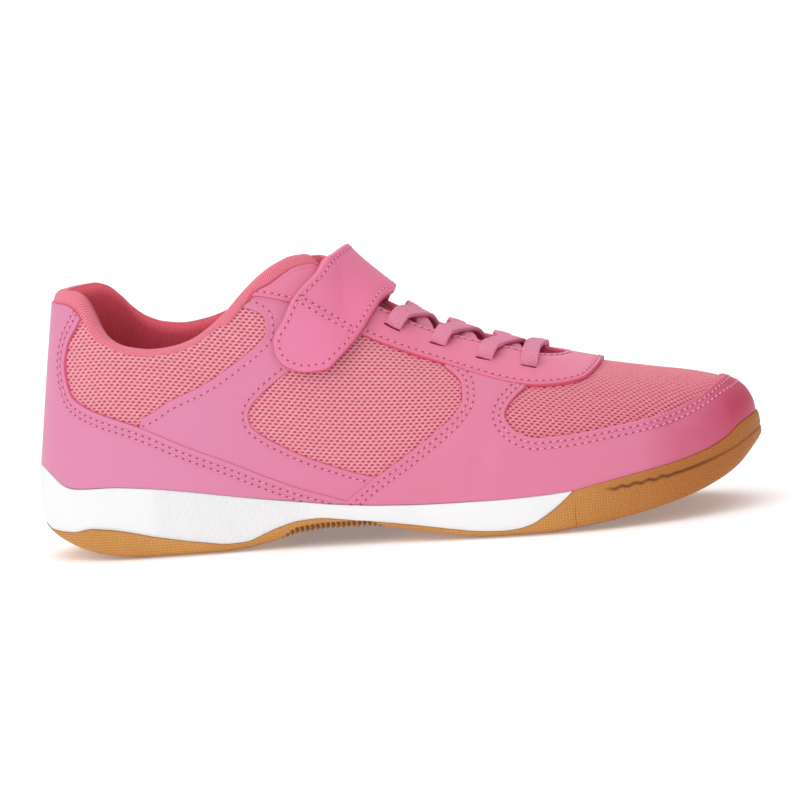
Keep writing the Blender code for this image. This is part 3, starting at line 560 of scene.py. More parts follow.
def weld(thing):
    """Joins points that meet and turns all faces outward."""
    shape = bmesh.new()
    shape.from_mesh(thing.data)
    bmesh.ops.remove_doubles(shape, verts=shape.verts, dist=WELD_DISTANCE)
    bmesh.ops.dissolve_degenerate(shape, edges=shape.edges, dist=WELD_DISTANCE / 4.0)
    bmesh.ops.recalc_face_normals(shape, faces=shape.faces)
    shape.to_mesh(thing.data)
    shape.free()


def grid_faces(rows, columns, closed_rows=False, start=0):
    """Quads between the points of a grid stored row by row."""
    r = np.arange(rows if closed_rows else rows - 1)
    c = np.arange(columns - 1)
    a = (r[:, None] * columns + c[None, :]).ravel() + start
    b = (((r + 1) % rows)[:, None] * columns + c[None, :]).ravel() + start
    return np.column_stack((a, a + 1, b + 1, b))


# Materials

def srgb(red, green, blue):
    """A colour given in screen values from 0 to 255, as a linear one."""
    channels = [c / 255.0 for c in (red, green, blue)]
    return (*[c / 12.92 if c <= 0.04045 else ((c + 0.055) / 1.055) ** 2.4 for c in channels], 1.0)


def surface_of(name, **sockets):
    """A new material, its node tree and its shader, with some of the shader's sockets set."""
    surface = bpy.data.materials.new(name)
    surface.use_nodes = True
    tree = surface.node_tree
    shader = tree.nodes["Principled BSDF"]
    for key, value in sockets.items():
        shader.inputs[key.replace("_", " ")].default_value = value
    return surface, tree, shader


def feed(tree, socket, value):
    """Sets a socket, or links it where the value is another socket."""
    if isinstance(value, bpy.types.NodeSocket):
        tree.links.new(value, socket)
    else:
        socket.default_value = value


def mixed(tree, share, first, second):
    """Two links or colours, mixed by a share."""
    made = tree.nodes.new("ShaderNodeMix")
    made.data_type = "RGBA"
    for index, value in ((0, share), (6, first), (7, second)):
        feed(tree, made.inputs[index], value)
    return made.outputs[2]


def math_node(tree, operation, first, second=0.0):
    """A sum, product or other operation on two values."""
    made = tree.nodes.new("ShaderNodeMath")
    made.operation = operation
    feed(tree, made.inputs[0], first)
    feed(tree, made.inputs[1], second)
    return made.outputs[0]


def weighted(tree, *terms):
    """A sum of values, each times its weight."""
    total, *others = [math_node(tree, "MULTIPLY", value, weight) for value, weight in terms]
    for term in others:
        total = math_node(tree, "ADD", total, term)
    return total


def ramp(tree, value, low, high, start=0.0, end=1.0):
    """A value's place between low and high, softly, as a number from start to end."""
    made = tree.nodes.new("ShaderNodeMapRange")
    made.interpolation_type = "SMOOTHSTEP"
    tree.links.new(value, made.inputs[0])
    for index, number in enumerate((low, high, start, end)):
        made.inputs[index + 1].default_value = number
    return made.outputs[0]


def noise(tree, per_metre, detail):
    """A noise over the object's own space."""
    made = tree.nodes.new("ShaderNodeTexNoise")
    tree.links.new(tree.nodes.new("ShaderNodeTexCoord").outputs["Object"], made.inputs["Vector"])
    made.inputs["Scale"].default_value = per_metre
    made.inputs["Detail"].default_value = detail
    return made.outputs[0]


def attribute(tree, name):
    """A number stored at the points of a piece."""
    made = tree.nodes.new("ShaderNodeAttribute")
    made.attribute_name = name
    return made.outputs["Fac"]


def uv_axes(tree):
    """Lengths along and across a piece, in millimetres."""
    made = tree.nodes.new("ShaderNodeUVMap")
    made.uv_map = "UVMap"
    split = tree.nodes.new("ShaderNodeSeparateXYZ")
    tree.links.new(made.outputs[0], split.inputs[0])
    return split.outputs[0], split.outputs[1]


def wave(tree, value, pitch):
    """A sine of the value, from 0 to 1, with a pitch in the value's units."""
    turn = math_node(tree, "MULTIPLY", value, 2.0 * math.pi / pitch)
    return ramp(tree, math_node(tree, "SINE", turn), -1.0, 1.0)


def bump(tree, shader, height, distance_mm, strength, under=None):
    """Fine relief on a shader, over another relief where one is given."""
    made = tree.nodes.new("ShaderNodeBump")
    made.inputs["Strength"].default_value = strength
    made.inputs["Distance"].default_value = distance_mm * MM
    tree.links.new(height, made.inputs["Height"])
    if under:
        tree.links.new(under, made.inputs["Normal"])
    tree.links.new(made.outputs[0], shader.inputs["Normal"])
    return made.outputs[0]


def light_drift_along_shoe(tree, first, *drifts):
    """Painted light and shade: a colour that drifts along the shoe; drifts are (start, end, colour), in
    metres from the middle.
    """
    split = tree.nodes.new("ShaderNodeSeparateXYZ")
    tree.links.new(tree.nodes.new("ShaderNodeTexCoord").outputs["Object"], split.inputs[0])
    place = weighted(tree, (split.outputs[0], 1.0), (noise(tree, 55.0, 3.0), 0.02))
    for low, high, colour in drifts:
        first = mixed(tree, ramp(tree, place, low, high), first, colour)
    return first


def leather(name, heel, middle, edge):
    """Smooth coated leather: fine grain, painted light and shade that drift from a lighter, lilac heel to a
    darker red toe, and a redder cut edge.
    """
    surface, tree, shader = surface_of(name, Roughness=0.5, Specular_IOR_Level=0.4, Coat_Weight=0.06,
                                       Coat_Roughness=0.3)
    # Painted light and shade: a lilac sheen towards the heel, darker red towards the toe.
    base = light_drift_along_shoe(tree, heel, (-0.07, 0.03, middle), (0.085, 0.125, SHADED_TOE_PINK))
    rim = ramp(tree, attribute(tree, "edge_mm"), 0.1, 0.4, 0.75, 0.0)
    tree.links.new(mixed(tree, rim, base, edge), shader.inputs["Base Color"])
    fine = noise(tree, 2600.0, 2.0)
    pores = tree.nodes.new("ShaderNodeTexVoronoi")
    pores.inputs["Scale"].default_value = 1500.0
    tree.links.new(tree.nodes.new("ShaderNodeTexCoord").outputs["Object"], pores.inputs["Vector"])
    first = bump(tree, shader, pores.outputs["Distance"], 0.035, 0.5)
    bump(tree, shader, fine, 0.03, 0.35, first)
    tree.links.new(ramp(tree, fine, 0.2, 0.8, 0.42, 0.54), shader.inputs["Roughness"])
    return surface


def cloth(name, colour, deep, per_metre=900.0, rough=0.85, toe=None):
    """Woven or knitted cloth with fine fibres, darker in their hollows as painted shade; toe is its colour
    towards the toe, painted shade where the light falls off.
    """
    surface, tree, shader = surface_of(name, Roughness=rough, Specular_IOR_Level=0.25, Sheen_Weight=0.25,
                                       Sheen_Roughness=0.5, Sheen_Tint=srgb(255, 205, 205))
    fibre = noise(tree, per_metre, 4.0)
    # Painted shade: darker towards the toe and in the fibres' hollows.
    crown = light_drift_along_shoe(tree, colour, (-0.02, 0.1, toe)) if toe else colour
    tree.links.new(mixed(tree, ramp(tree, fibre, 0.3, 0.7), deep, crown), shader.inputs["Base Color"])
    bump(tree, shader, fibre, 0.06, 0.7)
    return surface


def knit(name, colour, deep, pitch, slant):
    """Ribbed tape or lining: stripes along one direction of the chart with fine slanted loops, and painted
    shade in the hollows between them.
    """
    surface, tree, shader = surface_of(name, Roughness=0.88, Specular_IOR_Level=0.2, Sheen_Weight=0.3,
                                       Sheen_Roughness=0.5, Sheen_Tint=srgb(255, 190, 195))
    along, across = uv_axes(tree)
    rib = wave(tree, weighted(tree, (along, 1.0), (across, slant)), pitch)
    loop = wave(tree, across, pitch * 0.8)
    fibre = noise(tree, 1400.0, 3.0)
    height = weighted(tree, (rib, 0.7), (loop, 0.3), (fibre, 0.35))
    # Painted shade: the deep colour fills the hollows between ribs and loops.
    tree.links.new(mixed(tree, ramp(tree, height, 0.25, 1.0), deep, colour), shader.inputs["Base Color"])
    bump(tree, shader, height, 0.16, 0.8)
    return surface


def lace_weave(name, colour, deep):
    """Flat elastic: a herringbone of fine yarns between plain borders."""
    surface, tree, shader = surface_of(name, Roughness=0.72, Specular_IOR_Level=0.3, Sheen_Weight=0.3,
                                       Sheen_Roughness=0.4, Sheen_Tint=srgb(255, 190, 225))
    along, across = uv_axes(tree)
    fold = math_node(tree, "PINGPONG", math_node(tree, "ADD", across, 10.0), 0.9)
    yarn = wave(tree, weighted(tree, (along, 1.0), (fold, 0.9)), 0.62)
    border = ramp(tree, math_node(tree, "ABSOLUTE", across), 1.95, 2.1)
    plain = wave(tree, along, 0.5)
    height = mixed(tree, border, yarn, plain)
    fibre = noise(tree, 2200.0, 2.0)
    shade = weighted(tree, (height, 0.75), (fibre, 0.25))
    tree.links.new(mixed(tree, ramp(tree, shade, 0.1, 0.75), deep, colour), shader.inputs["Base Color"])
    bump(tree, shader, shade, 0.3, 0.9)
    return surface


def foam(name):
    """White moulded foam: satin skin, faint clouding and fine upright ribs along the waist."""
    surface, tree, shader = surface_of(name, Roughness=0.5, Specular_IOR_Level=0.4, Subsurface_Weight=0.06,
                                       Subsurface_Scale=0.002, Subsurface_Radius=(1.0, 1.0, 1.0))
    along, _ = uv_axes(tree)
    rib = wave(tree, along, RIB_PITCH)
    held = attribute(tree, "ribbed")
    cloud = noise(tree, 90.0, 3.0)
    # Darker towards the foam's lower edge.
    low_darkening = ramp(tree, attribute(tree, "low"), 0.0, 1.0)
    base = mixed(tree, ramp(tree, cloud, 0.35, 0.75), srgb(239, 240, 241), srgb(235, 237, 238))
    base = mixed(tree, math_node(tree, "MULTIPLY", low_darkening, 0.25), base, srgb(226, 224, 220))
    tree.links.new(base, shader.inputs["Base Color"])
    first = bump(tree, shader, math_node(tree, "MULTIPLY", rib, held), 0.10, 0.9)
    bump(tree, shader, noise(tree, 1200.0, 2.0), 0.03, 0.4, first)
    return surface


def gum(name):
    """Gum rubber with a fine waffle, with painted shade in the waffle's hollows, in its cuts and towards
    the toe.
    """
    surface, tree, shader = surface_of(name, Roughness=0.55, Specular_IOR_Level=0.35)
    along, across = uv_axes(tree)
    cells = math_node(tree, "MULTIPLY", wave(tree, along, WAFFLE_PITCH), wave(tree, across, WAFFLE_PITCH))
    cells = math_node(tree, "MULTIPLY", cells, attribute(tree, "waffle"))
    cloud = ramp(tree, noise(tree, 40.0, 3.0), 0.3, 0.7)
    base = mixed(tree, cloud, srgb(233, 171, 92), srgb(222, 158, 82))
    # Painted shade: darker towards the toe, where the gum turns down and away from the light.
    base = light_drift_along_shoe(tree, base, (0.05, 0.11, srgb(196, 118, 50)))
    # Painted shade in the waffle's hollows; its crests keep the base colour.
    base = mixed(tree, ramp(tree, cells, 0.0, 0.5), mixed(tree, 0.5, base, srgb(150, 88, 38)), base)
    cut = attribute(tree, "cut")
    # Painted shade in the cuts, teeth and seam.
    tree.links.new(mixed(tree, cut, base, srgb(96, 50, 20)), shader.inputs["Base Color"])
    first = bump(tree, shader, cells, 0.22, 0.9)
    bump(tree, shader, noise(tree, 1800.0, 2.0), 0.03, 0.5, first)
    return surface


def plain_matt(name, colour, roughness=0.8):
    """Matt thread, and the painted shade of needle holes and slots, with a fine fibre noise."""
    surface, tree, shader = surface_of(name, Roughness=roughness, Specular_IOR_Level=0.3)
    fibre = ramp(tree, noise(tree, 3000.0, 2.0), 0.3, 0.7)
    darker = tuple(c * 0.8 for c in colour[:3]) + (1.0,)
    tree.links.new(mixed(tree, fibre, darker, colour), shader.inputs["Base Color"])
    return surface


RIB_PITCH = 0.72
WAFFLE_PITCH = 0.85
# The leathers' heel and toe colours are painted light: a lilac sheen at the heel, painted shade in the red
# toe.
SHADED_TOE_PINK = srgb(194, 58, 90)
CUT_EDGE = srgb(212, 66, 100)
LEATHER = leather("overlay_leather", srgb(218, 132, 168), srgb(219, 121, 154), CUT_EDGE)
EYESTAY_LEATHER = leather("eyestay_leather", srgb(226, 131, 166), srgb(226, 118, 149), CUT_EDGE)
STRAP_LEATHER = leather("strap_leather", srgb(208, 132, 170), srgb(238, 118, 156), srgb(216, 84, 122))
# The darker toe colours of the net and its backing are painted shade.
NET_CLOTH = cloth("mesh_net", srgb(236, 165, 177), srgb(226, 145, 159), 1600.0, 0.75,
                  toe=srgb(227, 118, 136))
BASE_CLOTH = cloth("mesh_backing", srgb(212, 92, 112), srgb(196, 74, 96), toe=srgb(146, 30, 54))
BINDING_KNIT = knit("collar_binding", srgb(240, 138, 156), srgb(218, 100, 122), 0.9, 0.9)
LINING_KNIT = knit("collar_lining", srgb(248, 112, 130), srgb(218, 72, 92), 0.55, 0.5)
TONGUE_CLOTH = cloth("tongue_cloth", srgb(206, 76, 104), srgb(176, 50, 78), 1100.0)
INSOLE_CLOTH = cloth("insole_cloth", srgb(196, 70, 88), srgb(165, 46, 66), 1300.0)
LACE_ELASTIC = lace_weave("lace_elastic", srgb(255, 172, 202), srgb(228, 102, 140))
THREAD = plain_matt("thread", srgb(242, 154, 182), 0.6)
# Needle holes are dark lenses of painted shade.
THREAD_HOLE_SHADE = plain_matt("thread_hole_shade", srgb(203, 74, 116))
# Lace slots are dark lenses of painted shade.
SLOT_SHADE = plain_matt("slot_shade", srgb(140, 28, 58))
FOAM = foam("white_foam")
GUM = gum("gum_rubber")

# Upper

UPPER_SHARES = np.concatenate((np.linspace(0.0, 0.9, 34), np.linspace(0.925, 1.0, 6)))
RIM_ARC = np.linspace(0.0, math.pi, 9)[1:-1]
FOOT_INSET = FEATHER_INSET + 0.1


def upper_stations():
    """Stations of the upper's fine columns, close together where the throat closes."""
    near = CLOSING - 0.03 * np.linspace(1.0, 0.0, 16) ** 2
    return np.unique(np.concatenate((np.linspace(0.0, 1.0, 181), near)).round(6))


def upper_rows(side, stations, end):
    """Rows of one side of the upper: up its outside, over the rim, down its inside and under its edge."""
    level = UPPER_SHARES[:, None] * end
    outside = skin(side, stations, level, np.zeros_like(level))
    drop = 1.0 - (outside[-1, :, 2] - outside[..., 2]) / COLLAR_PAD_DEPTH
    within = skin(side, stations, level, -WALL - collar_pad(stations) * ease(drop))
    slope = ridge_slope(section[TOP_X](stations))
    into_throat = np.column_stack((-np.ones(len(slope)), np.zeros(len(slope)), -slope))
    away = unit(np.where((end >= 1.0)[:, None], into_throat, up_to_rim(side, stations, end)))
    centre = (outside[-1] + within[-1]) / 2.0
    radius = np.linalg.norm(outside[-1] - within[-1], axis=1)[:, None] / 2.0
    over = [centre + (outside[-1] - centre) * math.cos(a) + away * radius * math.sin(a) for a in RIM_ARC]
    plan, outward = outline(side, stations)
    low = footbed_line(plan[:, 0]) + GAP
    under = [np.column_stack((plan - (FOOT_INSET + inset) * outward, low)) for inset in (0.0, WALL)]
    return np.concatenate((under[:1], outside, over, within[::-1], under[1:]))


def upper_shell():
    """The upper's cloth wall, with no rim along the crest where its two sides meet."""
    stations = upper_stations()
    count = len(stations)
    points, faces = [], []
    for side in SIDES:
        end = edge_share(side, stations)
        rows = upper_rows(side, stations, end)
        made = grid_faces(len(rows), count, True, sum(map(len, points)))
        row = np.repeat(np.arange(len(rows)), count - 1)
        column = np.tile(np.arange(count - 1), len(rows))
        closed = (end[:-1] >= 1.0) & (end[1:] >= 1.0)
        over_rim = (row >= len(UPPER_SHARES)) & (row <= len(UPPER_SHARES) + len(RIM_ARC))
        faces.append(made[~(over_rim & closed[column])])
        points.append(rows.reshape(-1, 3))
    weld(add_piece("upper_cloth", np.concatenate(points), np.concatenate(faces), BASE_CLOTH, "upper",
                   "mesh_cloth"))


upper_shell()

# Panels laid on the upper

EDGE_INSETS = (0.0, 0.05, 0.16, 0.36)
EDGE_HEIGHTS = (0.0, 0.5, 0.86, 1.0)
LOOP_STEP = 0.7
GRID_STEP, GRID_CLEAR = 1.7, 0.75
UNDER, UNDER_STEP, UNDER_CLEAR = -0.35, 4.0, 2.0
RELIEF_FADE = 3.0
GROOVE_DEPTH, GROOVE_WIDTH = 0.16, 0.4
# Least share of its own distance that a ring or a row of stitches keeps from any other edge.
RING_CLEAR, ROW_CLEAR = 0.95, 0.93


def moved(chart, uv, distance, turn, closed):
    """The chart places of a line moved sideways over the surface by a distance."""
    by_u, by_v = tangents(chart, *uv.T)
    point = chart(*uv.T, 0.0)
    along = np.roll(point, -1, axis=0) - np.roll(point, 1, axis=0) if closed else np.gradient(point, axis=0)
    side = unit(np.cross(unit(np.cross(by_u, by_v)), along) * turn) * distance
    a, b, c = (by_u * by_u).sum(1), (by_u * by_v).sum(1), (by_v * by_v).sum(1)
    e, f = (by_u * side).sum(1), (by_v * side).sum(1)
    det = a * c - b * b
    return uv + np.column_stack(((c * e - b * f) / det, (a * f - b * e) / det))


def respaced(chart, uv, step, closed=False):
    """The same line with points at even steps over the surface."""
    line = np.concatenate((uv, uv[:1])) if closed else uv
    run = run_length(chart(*line.T, 0.0))
    keep = np.concatenate(([True], np.diff(run) > 1e-6))
    line, run = line[keep], run[keep]
    count = max(4, int(round(run[-1] / step)))
    t = np.linspace(0.0, run[-1], count + 1)
    if closed:
        t = t[:-1]
    return np.column_stack([np.interp(t, run, line[:, k]) for k in (0, 1)])


def softened(chart, line, times, closed=False):
    """A line with its corners rounded, more so the more times it is averaged with itself."""
    line = respaced(chart, line, 0.5, closed)
    for _ in range(times):
        eased_line = 0.25 * np.roll(line, 1, axis=0) + 0.5 * line + 0.25 * np.roll(line, -1, axis=0)
        if not closed:
            eased_line[[0, -1]] = line[[0, -1]]
        line = eased_line
    return line


def turn_of(loop, scale):
    """1 where a closed loop runs anticlockwise in its chart, else -1."""
    x, y = (loop * scale).T
    return 1.0 if (x * np.roll(y, -1) - np.roll(x, -1) * y).sum() > 0.0 else -1.0


def triangles(places, loop_count):
    """Triangles between flat places, inside the loop made by the first loop_count of them."""
    edges = [(i, (i + 1) % loop_count) for i in range(loop_count)]
    out = delaunay_2d_cdt([Vector(p) for p in places], edges, [], 1, 1e-5)
    order = [o[0] if o else -1 for o in out[3]]
    found = np.array([[order[i] for i in face] for face in out[2]])
    return found[(found >= 0).all(axis=1)]


def filled(chart, loop, scale, step, tree, clear):
    """Staggered places inside a loop that keep clear of the points of a tree."""
    border = loop * scale
    low, high = border.min(axis=0), border.max(axis=0)
    x, y = np.meshgrid(np.arange(low[0], high[0], step), np.arange(low[1], high[1], step * 0.87))
    x = x + (np.arange(len(x)) % 2)[:, None] * step / 2.0
    grid = np.column_stack((x.ravel(), y.ravel()))
    grid = grid[inside(grid, border)] / scale
    return grid[distance_to(tree, chart(*grid.T, 0.0)) > clear]


def edge_rings(chart, loop, turn, insets, edge_tree):
    """A panel's loop and the rings inside it, each cut away where another edge comes nearer."""
    rings = [loop]
    for inset in insets:
        ring = moved(chart, loop, inset, turn, True)
        away = distance_to(edge_tree, chart(*ring.T, 0.0))
        rings.append(ring[away > RING_CLEAR * inset])
    return np.concatenate(rings)


def underside(chart, loop, scale, base, top_count):
    """A panel's flat underside: its points and faces, joined at the loop to a top of top_count points."""
    below = filled(chart, loop, scale, UNDER_STEP, tree_of(chart(*loop.T, 0.0)), UNDER_CLEAR)
    faces = triangles(np.concatenate((loop, below)) * scale, len(loop))[:, ::-1]
    faces = np.where(faces < len(loop), faces, faces - len(loop) + top_count)
    return chart(*below.T, np.full(len(below), base + UNDER)), faces


def panel(name, chart, loop, thickness, surface, node, rows, stitched, base=0.0, relief=None, rounding=1.0):
    """A panel over the upper with a rounded edge and a groove under each row along its stitched edges."""
    loop = respaced(chart, loop, LOOP_STEP, True)
    scale = np.array([np.linalg.norm(tangent, axis=1).mean() for tangent in tangents(chart, *loop.T)])
    turn = turn_of(loop, scale)
    free = loop[loop[:, 1] > 3.0 * SOLE_SHARE]
    edge_tree = tree_of(chart(*free.T, 0.0))
    edge_insets = np.array(EDGE_INSETS) * rounding
    insets = [*edge_insets[1:], edge_insets[-1] + 0.5]
    insets += [row + d for row in rows for d in (-GROOVE_WIDTH, 0.0, GROOVE_WIDTH)]
    rings = edge_rings(chart, loop, turn, insets, edge_tree)
    rings_tree = tree_of(chart(*rings.T, 0.0))
    places = np.concatenate((rings, filled(chart, loop, scale, GRID_STEP, rings_tree, GRID_CLEAR)))
    at = chart(*places.T, 0.0)
    away = distance_to(edge_tree, at)
    height = base + (thickness - UNDER) * np.interp(away, edge_insets, EDGE_HEIGHTS) + UNDER
    from_seam = distance_to(tree_of(np.concatenate([chart(*edge.T, 0.0) for edge in stitched])), at)
    for row in rows:
        height -= GROOVE_DEPTH * np.exp(-(((from_seam - row) / GROOVE_WIDTH) ** 2))
    if relief:
        height = height + relief(at) * ease(away / RELIEF_FADE)
    top = chart(*places.T, height)
    faces = triangles(places * scale, len(loop))
    under, under_faces = underside(chart, loop, scale, base, len(top))
    made = np.concatenate((faces, under_faces))
    a, b, c = (top[faces[:, k]] for k in range(3))
    lifted = chart(*places.T, height + 1.0) - top
    if (np.cross(b - a, c - a) * lifted[faces[:, 0]]).sum() < 0.0:
        made = made[:, ::-1]
    floats = {"edge_mm": np.concatenate((away, np.zeros(len(under))))}
    add_piece(name, np.concatenate((top, under)), made, surface, node, "overlay_leather", floats)
    return turn, loop * scale, scale


STITCH_PITCH, STITCH_LENGTH, STITCH_WIDTH, STITCH_HEIGHT = 2.25, 1.55, 0.6, 0.42
STITCH_RINGS = ((-1.0, 0.25), (-0.82, 0.75), (-0.4, 1.0), (0.4, 1.0), (0.82, 0.75), (1.0, 0.25))
STITCH_LEAN = math.radians(7.0)
STITCH_SINK = 0.3
PRICK_HALF, PRICK_RIM, PRICK_TOP, PRICK_DEPTH = (0.42, 0.28), 0.03, 0.05, 0.3
HEXAGON = np.linspace(0.0, 2.0 * math.pi, 7)[:-1]
sewn = {"stitching": ([], []), "needle_hole_shade": ([], [])}


def copies(faces, count, size, start):
    """Faces of a small mesh of some size, repeated for count copies of it from a start."""
    return (np.array(faces)[None] + (np.arange(count) * size)[:, None, None]).reshape(-1, 3) + start


def lens_faces(count):
    """Faces of a flat lens: a rim of count points, then its middle above and its middle below."""
    rim = [(k, (k + 1) % count) for k in range(count)]
    return [(a, b, count) for a, b in rim] + [(b, a, count + 1) for a, b in rim]


def stitch_mesh():
    """Faces of one stitch: a tube of rings, closed at both ends."""
    faces = []
    for ring in range(len(STITCH_RINGS) - 1):
        for k in range(6):
            a, b = ring * 6 + k, ring * 6 + (k + 1) % 6
            faces += [(a, b, b + 6), (a, b + 6, a + 6)]
    for first, flip in ((0, 1), ((len(STITCH_RINGS) - 1) * 6, -1)):
        faces += [(first, first + k + 1, first + k + 2)[::-flip] for k in range(4)]
    return faces


STITCH_FACES = stitch_mesh()
PRICK_FACES = lens_faces(6)


def seam_frame(chart, line, height):
    """The length of a line over a chart, and a function for its points and directions at some lengths."""
    line = respaced(chart, line, 0.5)
    point = chart(*line.T, 0.0)
    lift = chart(*line.T, 1.0) - point
    point = point + lift * height
    run = run_length(point)

    def at(t, values):
        return np.column_stack([np.interp(t, run, values[:, k]) for k in range(3)])

    def axes(t):
        up, along = at(t, lift), unit(at(t + 0.4, point) - at(t - 0.4, point))
        return at(t, point), up, along, np.cross(up, along)

    return run[-1], axes


def stitches(middle, up, along, across):
    """Points of stitches that lean a little along their row and sink in at both ends."""
    lean = along * math.cos(STITCH_LEAN) + across * math.sin(STITCH_LEAN)
    points = []
    for reach, girth in STITCH_RINGS:
        sink = -STITCH_SINK * STITCH_HEIGHT * reach ** 4
        for a in HEXAGON:
            out = across * (math.cos(a) * girth * STITCH_WIDTH / 2.0)
            rise = up * (math.sin(a) * girth * STITCH_HEIGHT / 2.0 + sink)
            points.append(middle + lean * (reach * STITCH_LENGTH / 2.0) + out + rise)
    return points


def pricks(middle, up, along, across):
    """Points of needle holes, each a flat dark lens of painted shade."""
    long, wide = PRICK_HALF
    raised = middle + up * PRICK_RIM
    rim = [raised + along * long * math.cos(a) + across * wide * math.sin(a) for a in HEXAGON]
    return rim + [middle + up * PRICK_TOP, middle - up * PRICK_DEPTH]


def gather(name, points, faces):
    """Adds copies of a small mesh to a sewn piece; each entry of points is one point of all the copies."""
    all_points, all_faces = sewn[name]
    made = np.array(points).transpose(1, 0, 2)
    all_faces.append(copies(faces, *made.shape[:2], sum(map(len, all_points))))
    all_points.append(made.reshape(-1, 3))


def sew(chart, line, height):
    """Stitches along a line of a chart, and the needle holes between them."""
    length, axes = seam_frame(chart, line, height)
    count = int(length / STITCH_PITCH)
    if count < 1:
        return
    centres = (np.arange(count) + 0.5) * length / count
    gaps = np.append(centres - length / count / 2.0, length)
    gather("stitching", stitches(*axes(centres)), STITCH_FACES)
    gather("needle_hole_shade", pricks(*axes(gaps)), PRICK_FACES)


def sew_rows(chart, edge, rows, laid, height):
    """Rows of stitches at distances from an edge of a laid panel, as far as they stay on it."""
    turn, loop, scale = laid
    edge = respaced(chart, edge, 0.8)
    tree = tree_of(chart(*edge.T, 0.0))
    for row in rows:
        line = moved(chart, edge, row, turn, False)
        keep = distance_to(tree, chart(*line.T, 0.0)) > ROW_CLEAR * row
        line = line[keep & inside(line * scale, loop)]
        sew(chart, line, height)


COUNTER_TOP, QUARTER_TOP, FOREPART_TOP, EYESTAY_TOP = 1.3, 0.9, 1.3, 1.65
# Rows of stitches by their distances from an edge.
COUNTER_ROWS, FOREPART_ROWS = (2.2, 3.9), (1.9, 3.7)
QUARTER_ROWS, COLLAR_ROWS, EYESTAY_ROWS, THROAT_ROWS = (1.9,), (2.6,), (1.6,), (1.5,)
SOLE_SHARE = 0.002
PEAK, PEAK_FADES = (0.36, 0.49), (0.03, 0.015)
RIM_TUCK, PEAK_TUCK, THROAT_TUCK = 0.006, 0.034, 0.003
EYESTAY_CHART = rounded_chart(0.03)
EDGE_STEP = 1.2
THROAT_BEND = 0.66


def at_peak(station):
    """1 along the collar's peak in front of the ankle, 0 beside it."""
    (low, high), (rise, fall) = PEAK, PEAK_FADES
    return ease((station - low) / rise) * ease((high - station) / fall)


def rim_tuck(station):
    """How far short of the rim a panel stops."""
    return RIM_TUCK + (PEAK_TUCK - RIM_TUCK) * at_peak(station)


def under_rim(side, places):
    """The part of a line that lies below the collar's binding, ending right on it, and above the sole."""
    top = edge_share(side, places[:, 0]) - rim_tuck(places[:, 0])
    over = places[:, 1] > top
    kept = ~over | ~np.append(True, over[:-1]) | ~np.append(over[1:], True)
    return np.column_stack((places[:, 0], np.clip(np.minimum(places[:, 1], top), SOLE_SHARE, 1.0)))[kept]


def edge_places(side, edge, shift=(0.0, 0.0)):
    """An edge given in side view, as places on one side of the upper."""
    return under_rim(side, on_wall(side, smooth_path(edge, EDGE_STEP) + shift))


def heel_counter():
    """The counter wraps the heel; a double row of stitches follows its front edge."""
    outer, inner = (edge_places(side, COUNTER_EDGE) for side in SIDES)
    sole = np.linspace(-outer[-1, 0], inner[-1, 0], 60)
    rim = np.linspace(inner[0, 0], -outer[0, 0], 40)
    rim_share = np.where(rim < 0.0, *(edge_share(side, np.abs(rim)) for side in SIDES)) - RIM_TUCK
    outer, inner = outer * (-1.0, 1.0), inner[::-1]
    loop = np.concatenate((outer, np.column_stack((sole, np.full(60, SOLE_SHARE)))[1:-1], inner,
                           np.column_stack((rim, rim_share))[1:-1]))
    laid = panel("heel_counter_panel", heel_chart, loop, COUNTER_TOP, LEATHER, "heel_counter",
                 COUNTER_ROWS, (outer, inner))
    for edge in (outer, inner):
        sew_rows(heel_chart, edge, COUNTER_ROWS, laid, COUNTER_TOP)


def quarter(side, name, node):
    """The side panel between the two mesh windows, tucked under its neighbours."""
    window = edge_places(side, QUARTER_WINDOW)
    under_eyestay = edge_places(side, EYESTAY_EDGE[5::-1], UNDER_EYESTAY)
    collar = edge_places(side, COLLAR_WINDOW[::-1])
    under_counter = edge_places(side, COUNTER_EDGE[7:], UNDER_COUNTER)
    corner = edge_places(side, QUARTER_CORNER)
    loop = np.concatenate((window, under_eyestay, collar, under_counter, corner))
    chart = side_chart(side)
    laid = panel(name, chart, loop, QUARTER_TOP, LEATHER, node, QUARTER_ROWS, (window, collar))
    sew_rows(chart, window, QUARTER_ROWS, laid, QUARTER_TOP)
    sew_rows(chart, collar, COLLAR_ROWS, laid, QUARTER_TOP)


def toe_edge(side):
    """The toe window's lower edge, carried round to the middle of the toe."""
    edge = edge_places(side, TOE_WINDOW)
    shares = np.linspace(0.2, 0.99, 400)
    tip = float(np.interp(-TOE_CAP, -wall(side, np.ones(400), shares)[:, 0], shares))
    station, share = edge[-1]
    grade = (edge[-1, 1] - edge[-4, 1]) / (edge[-1, 0] - edge[-4, 0])
    t = np.linspace(0.0, 1.0, 14)[1:]
    span = 1.0 - station
    run_in = share + (tip - share) * ease(t) + grade * span * t * (1.0 - t) ** 2
    return np.concatenate((edge, np.column_stack((station + span * t, run_in))))


def dents(table, across_by, along_by):
    """Relief of soft dents in a table: x, height, length, width and depth, negative for a swell.

    The other two say how a step in x and up counts across a dent and along it.
    """
    def relief(at):
        total = np.zeros(len(at))
        for x, z, length, width, depth in table:
            across, along = ((at[:, SIDE_VIEW] - (x, z)) @ np.column_stack((across_by, along_by))).T
            total -= depth * np.exp(-((across / width) ** 2)) * np.exp(-((along / length * 2.0) ** 2))
        return total

    return relief


# Creases of the forepart where the foot bends, the same on both sides.
CREASES = (
    (143.0, 24.0, 16.0, 3.4, 0.35), (149.0, 21.0, 15.0, 3.0, -0.28), (137.5, 21.0, 12.0, 3.0, -0.2),
    (199.0, 25.0, 12.0, 4.0, 0.22))
CREASE_AXES = (1.0, -0.25), (0.0, 1.0)


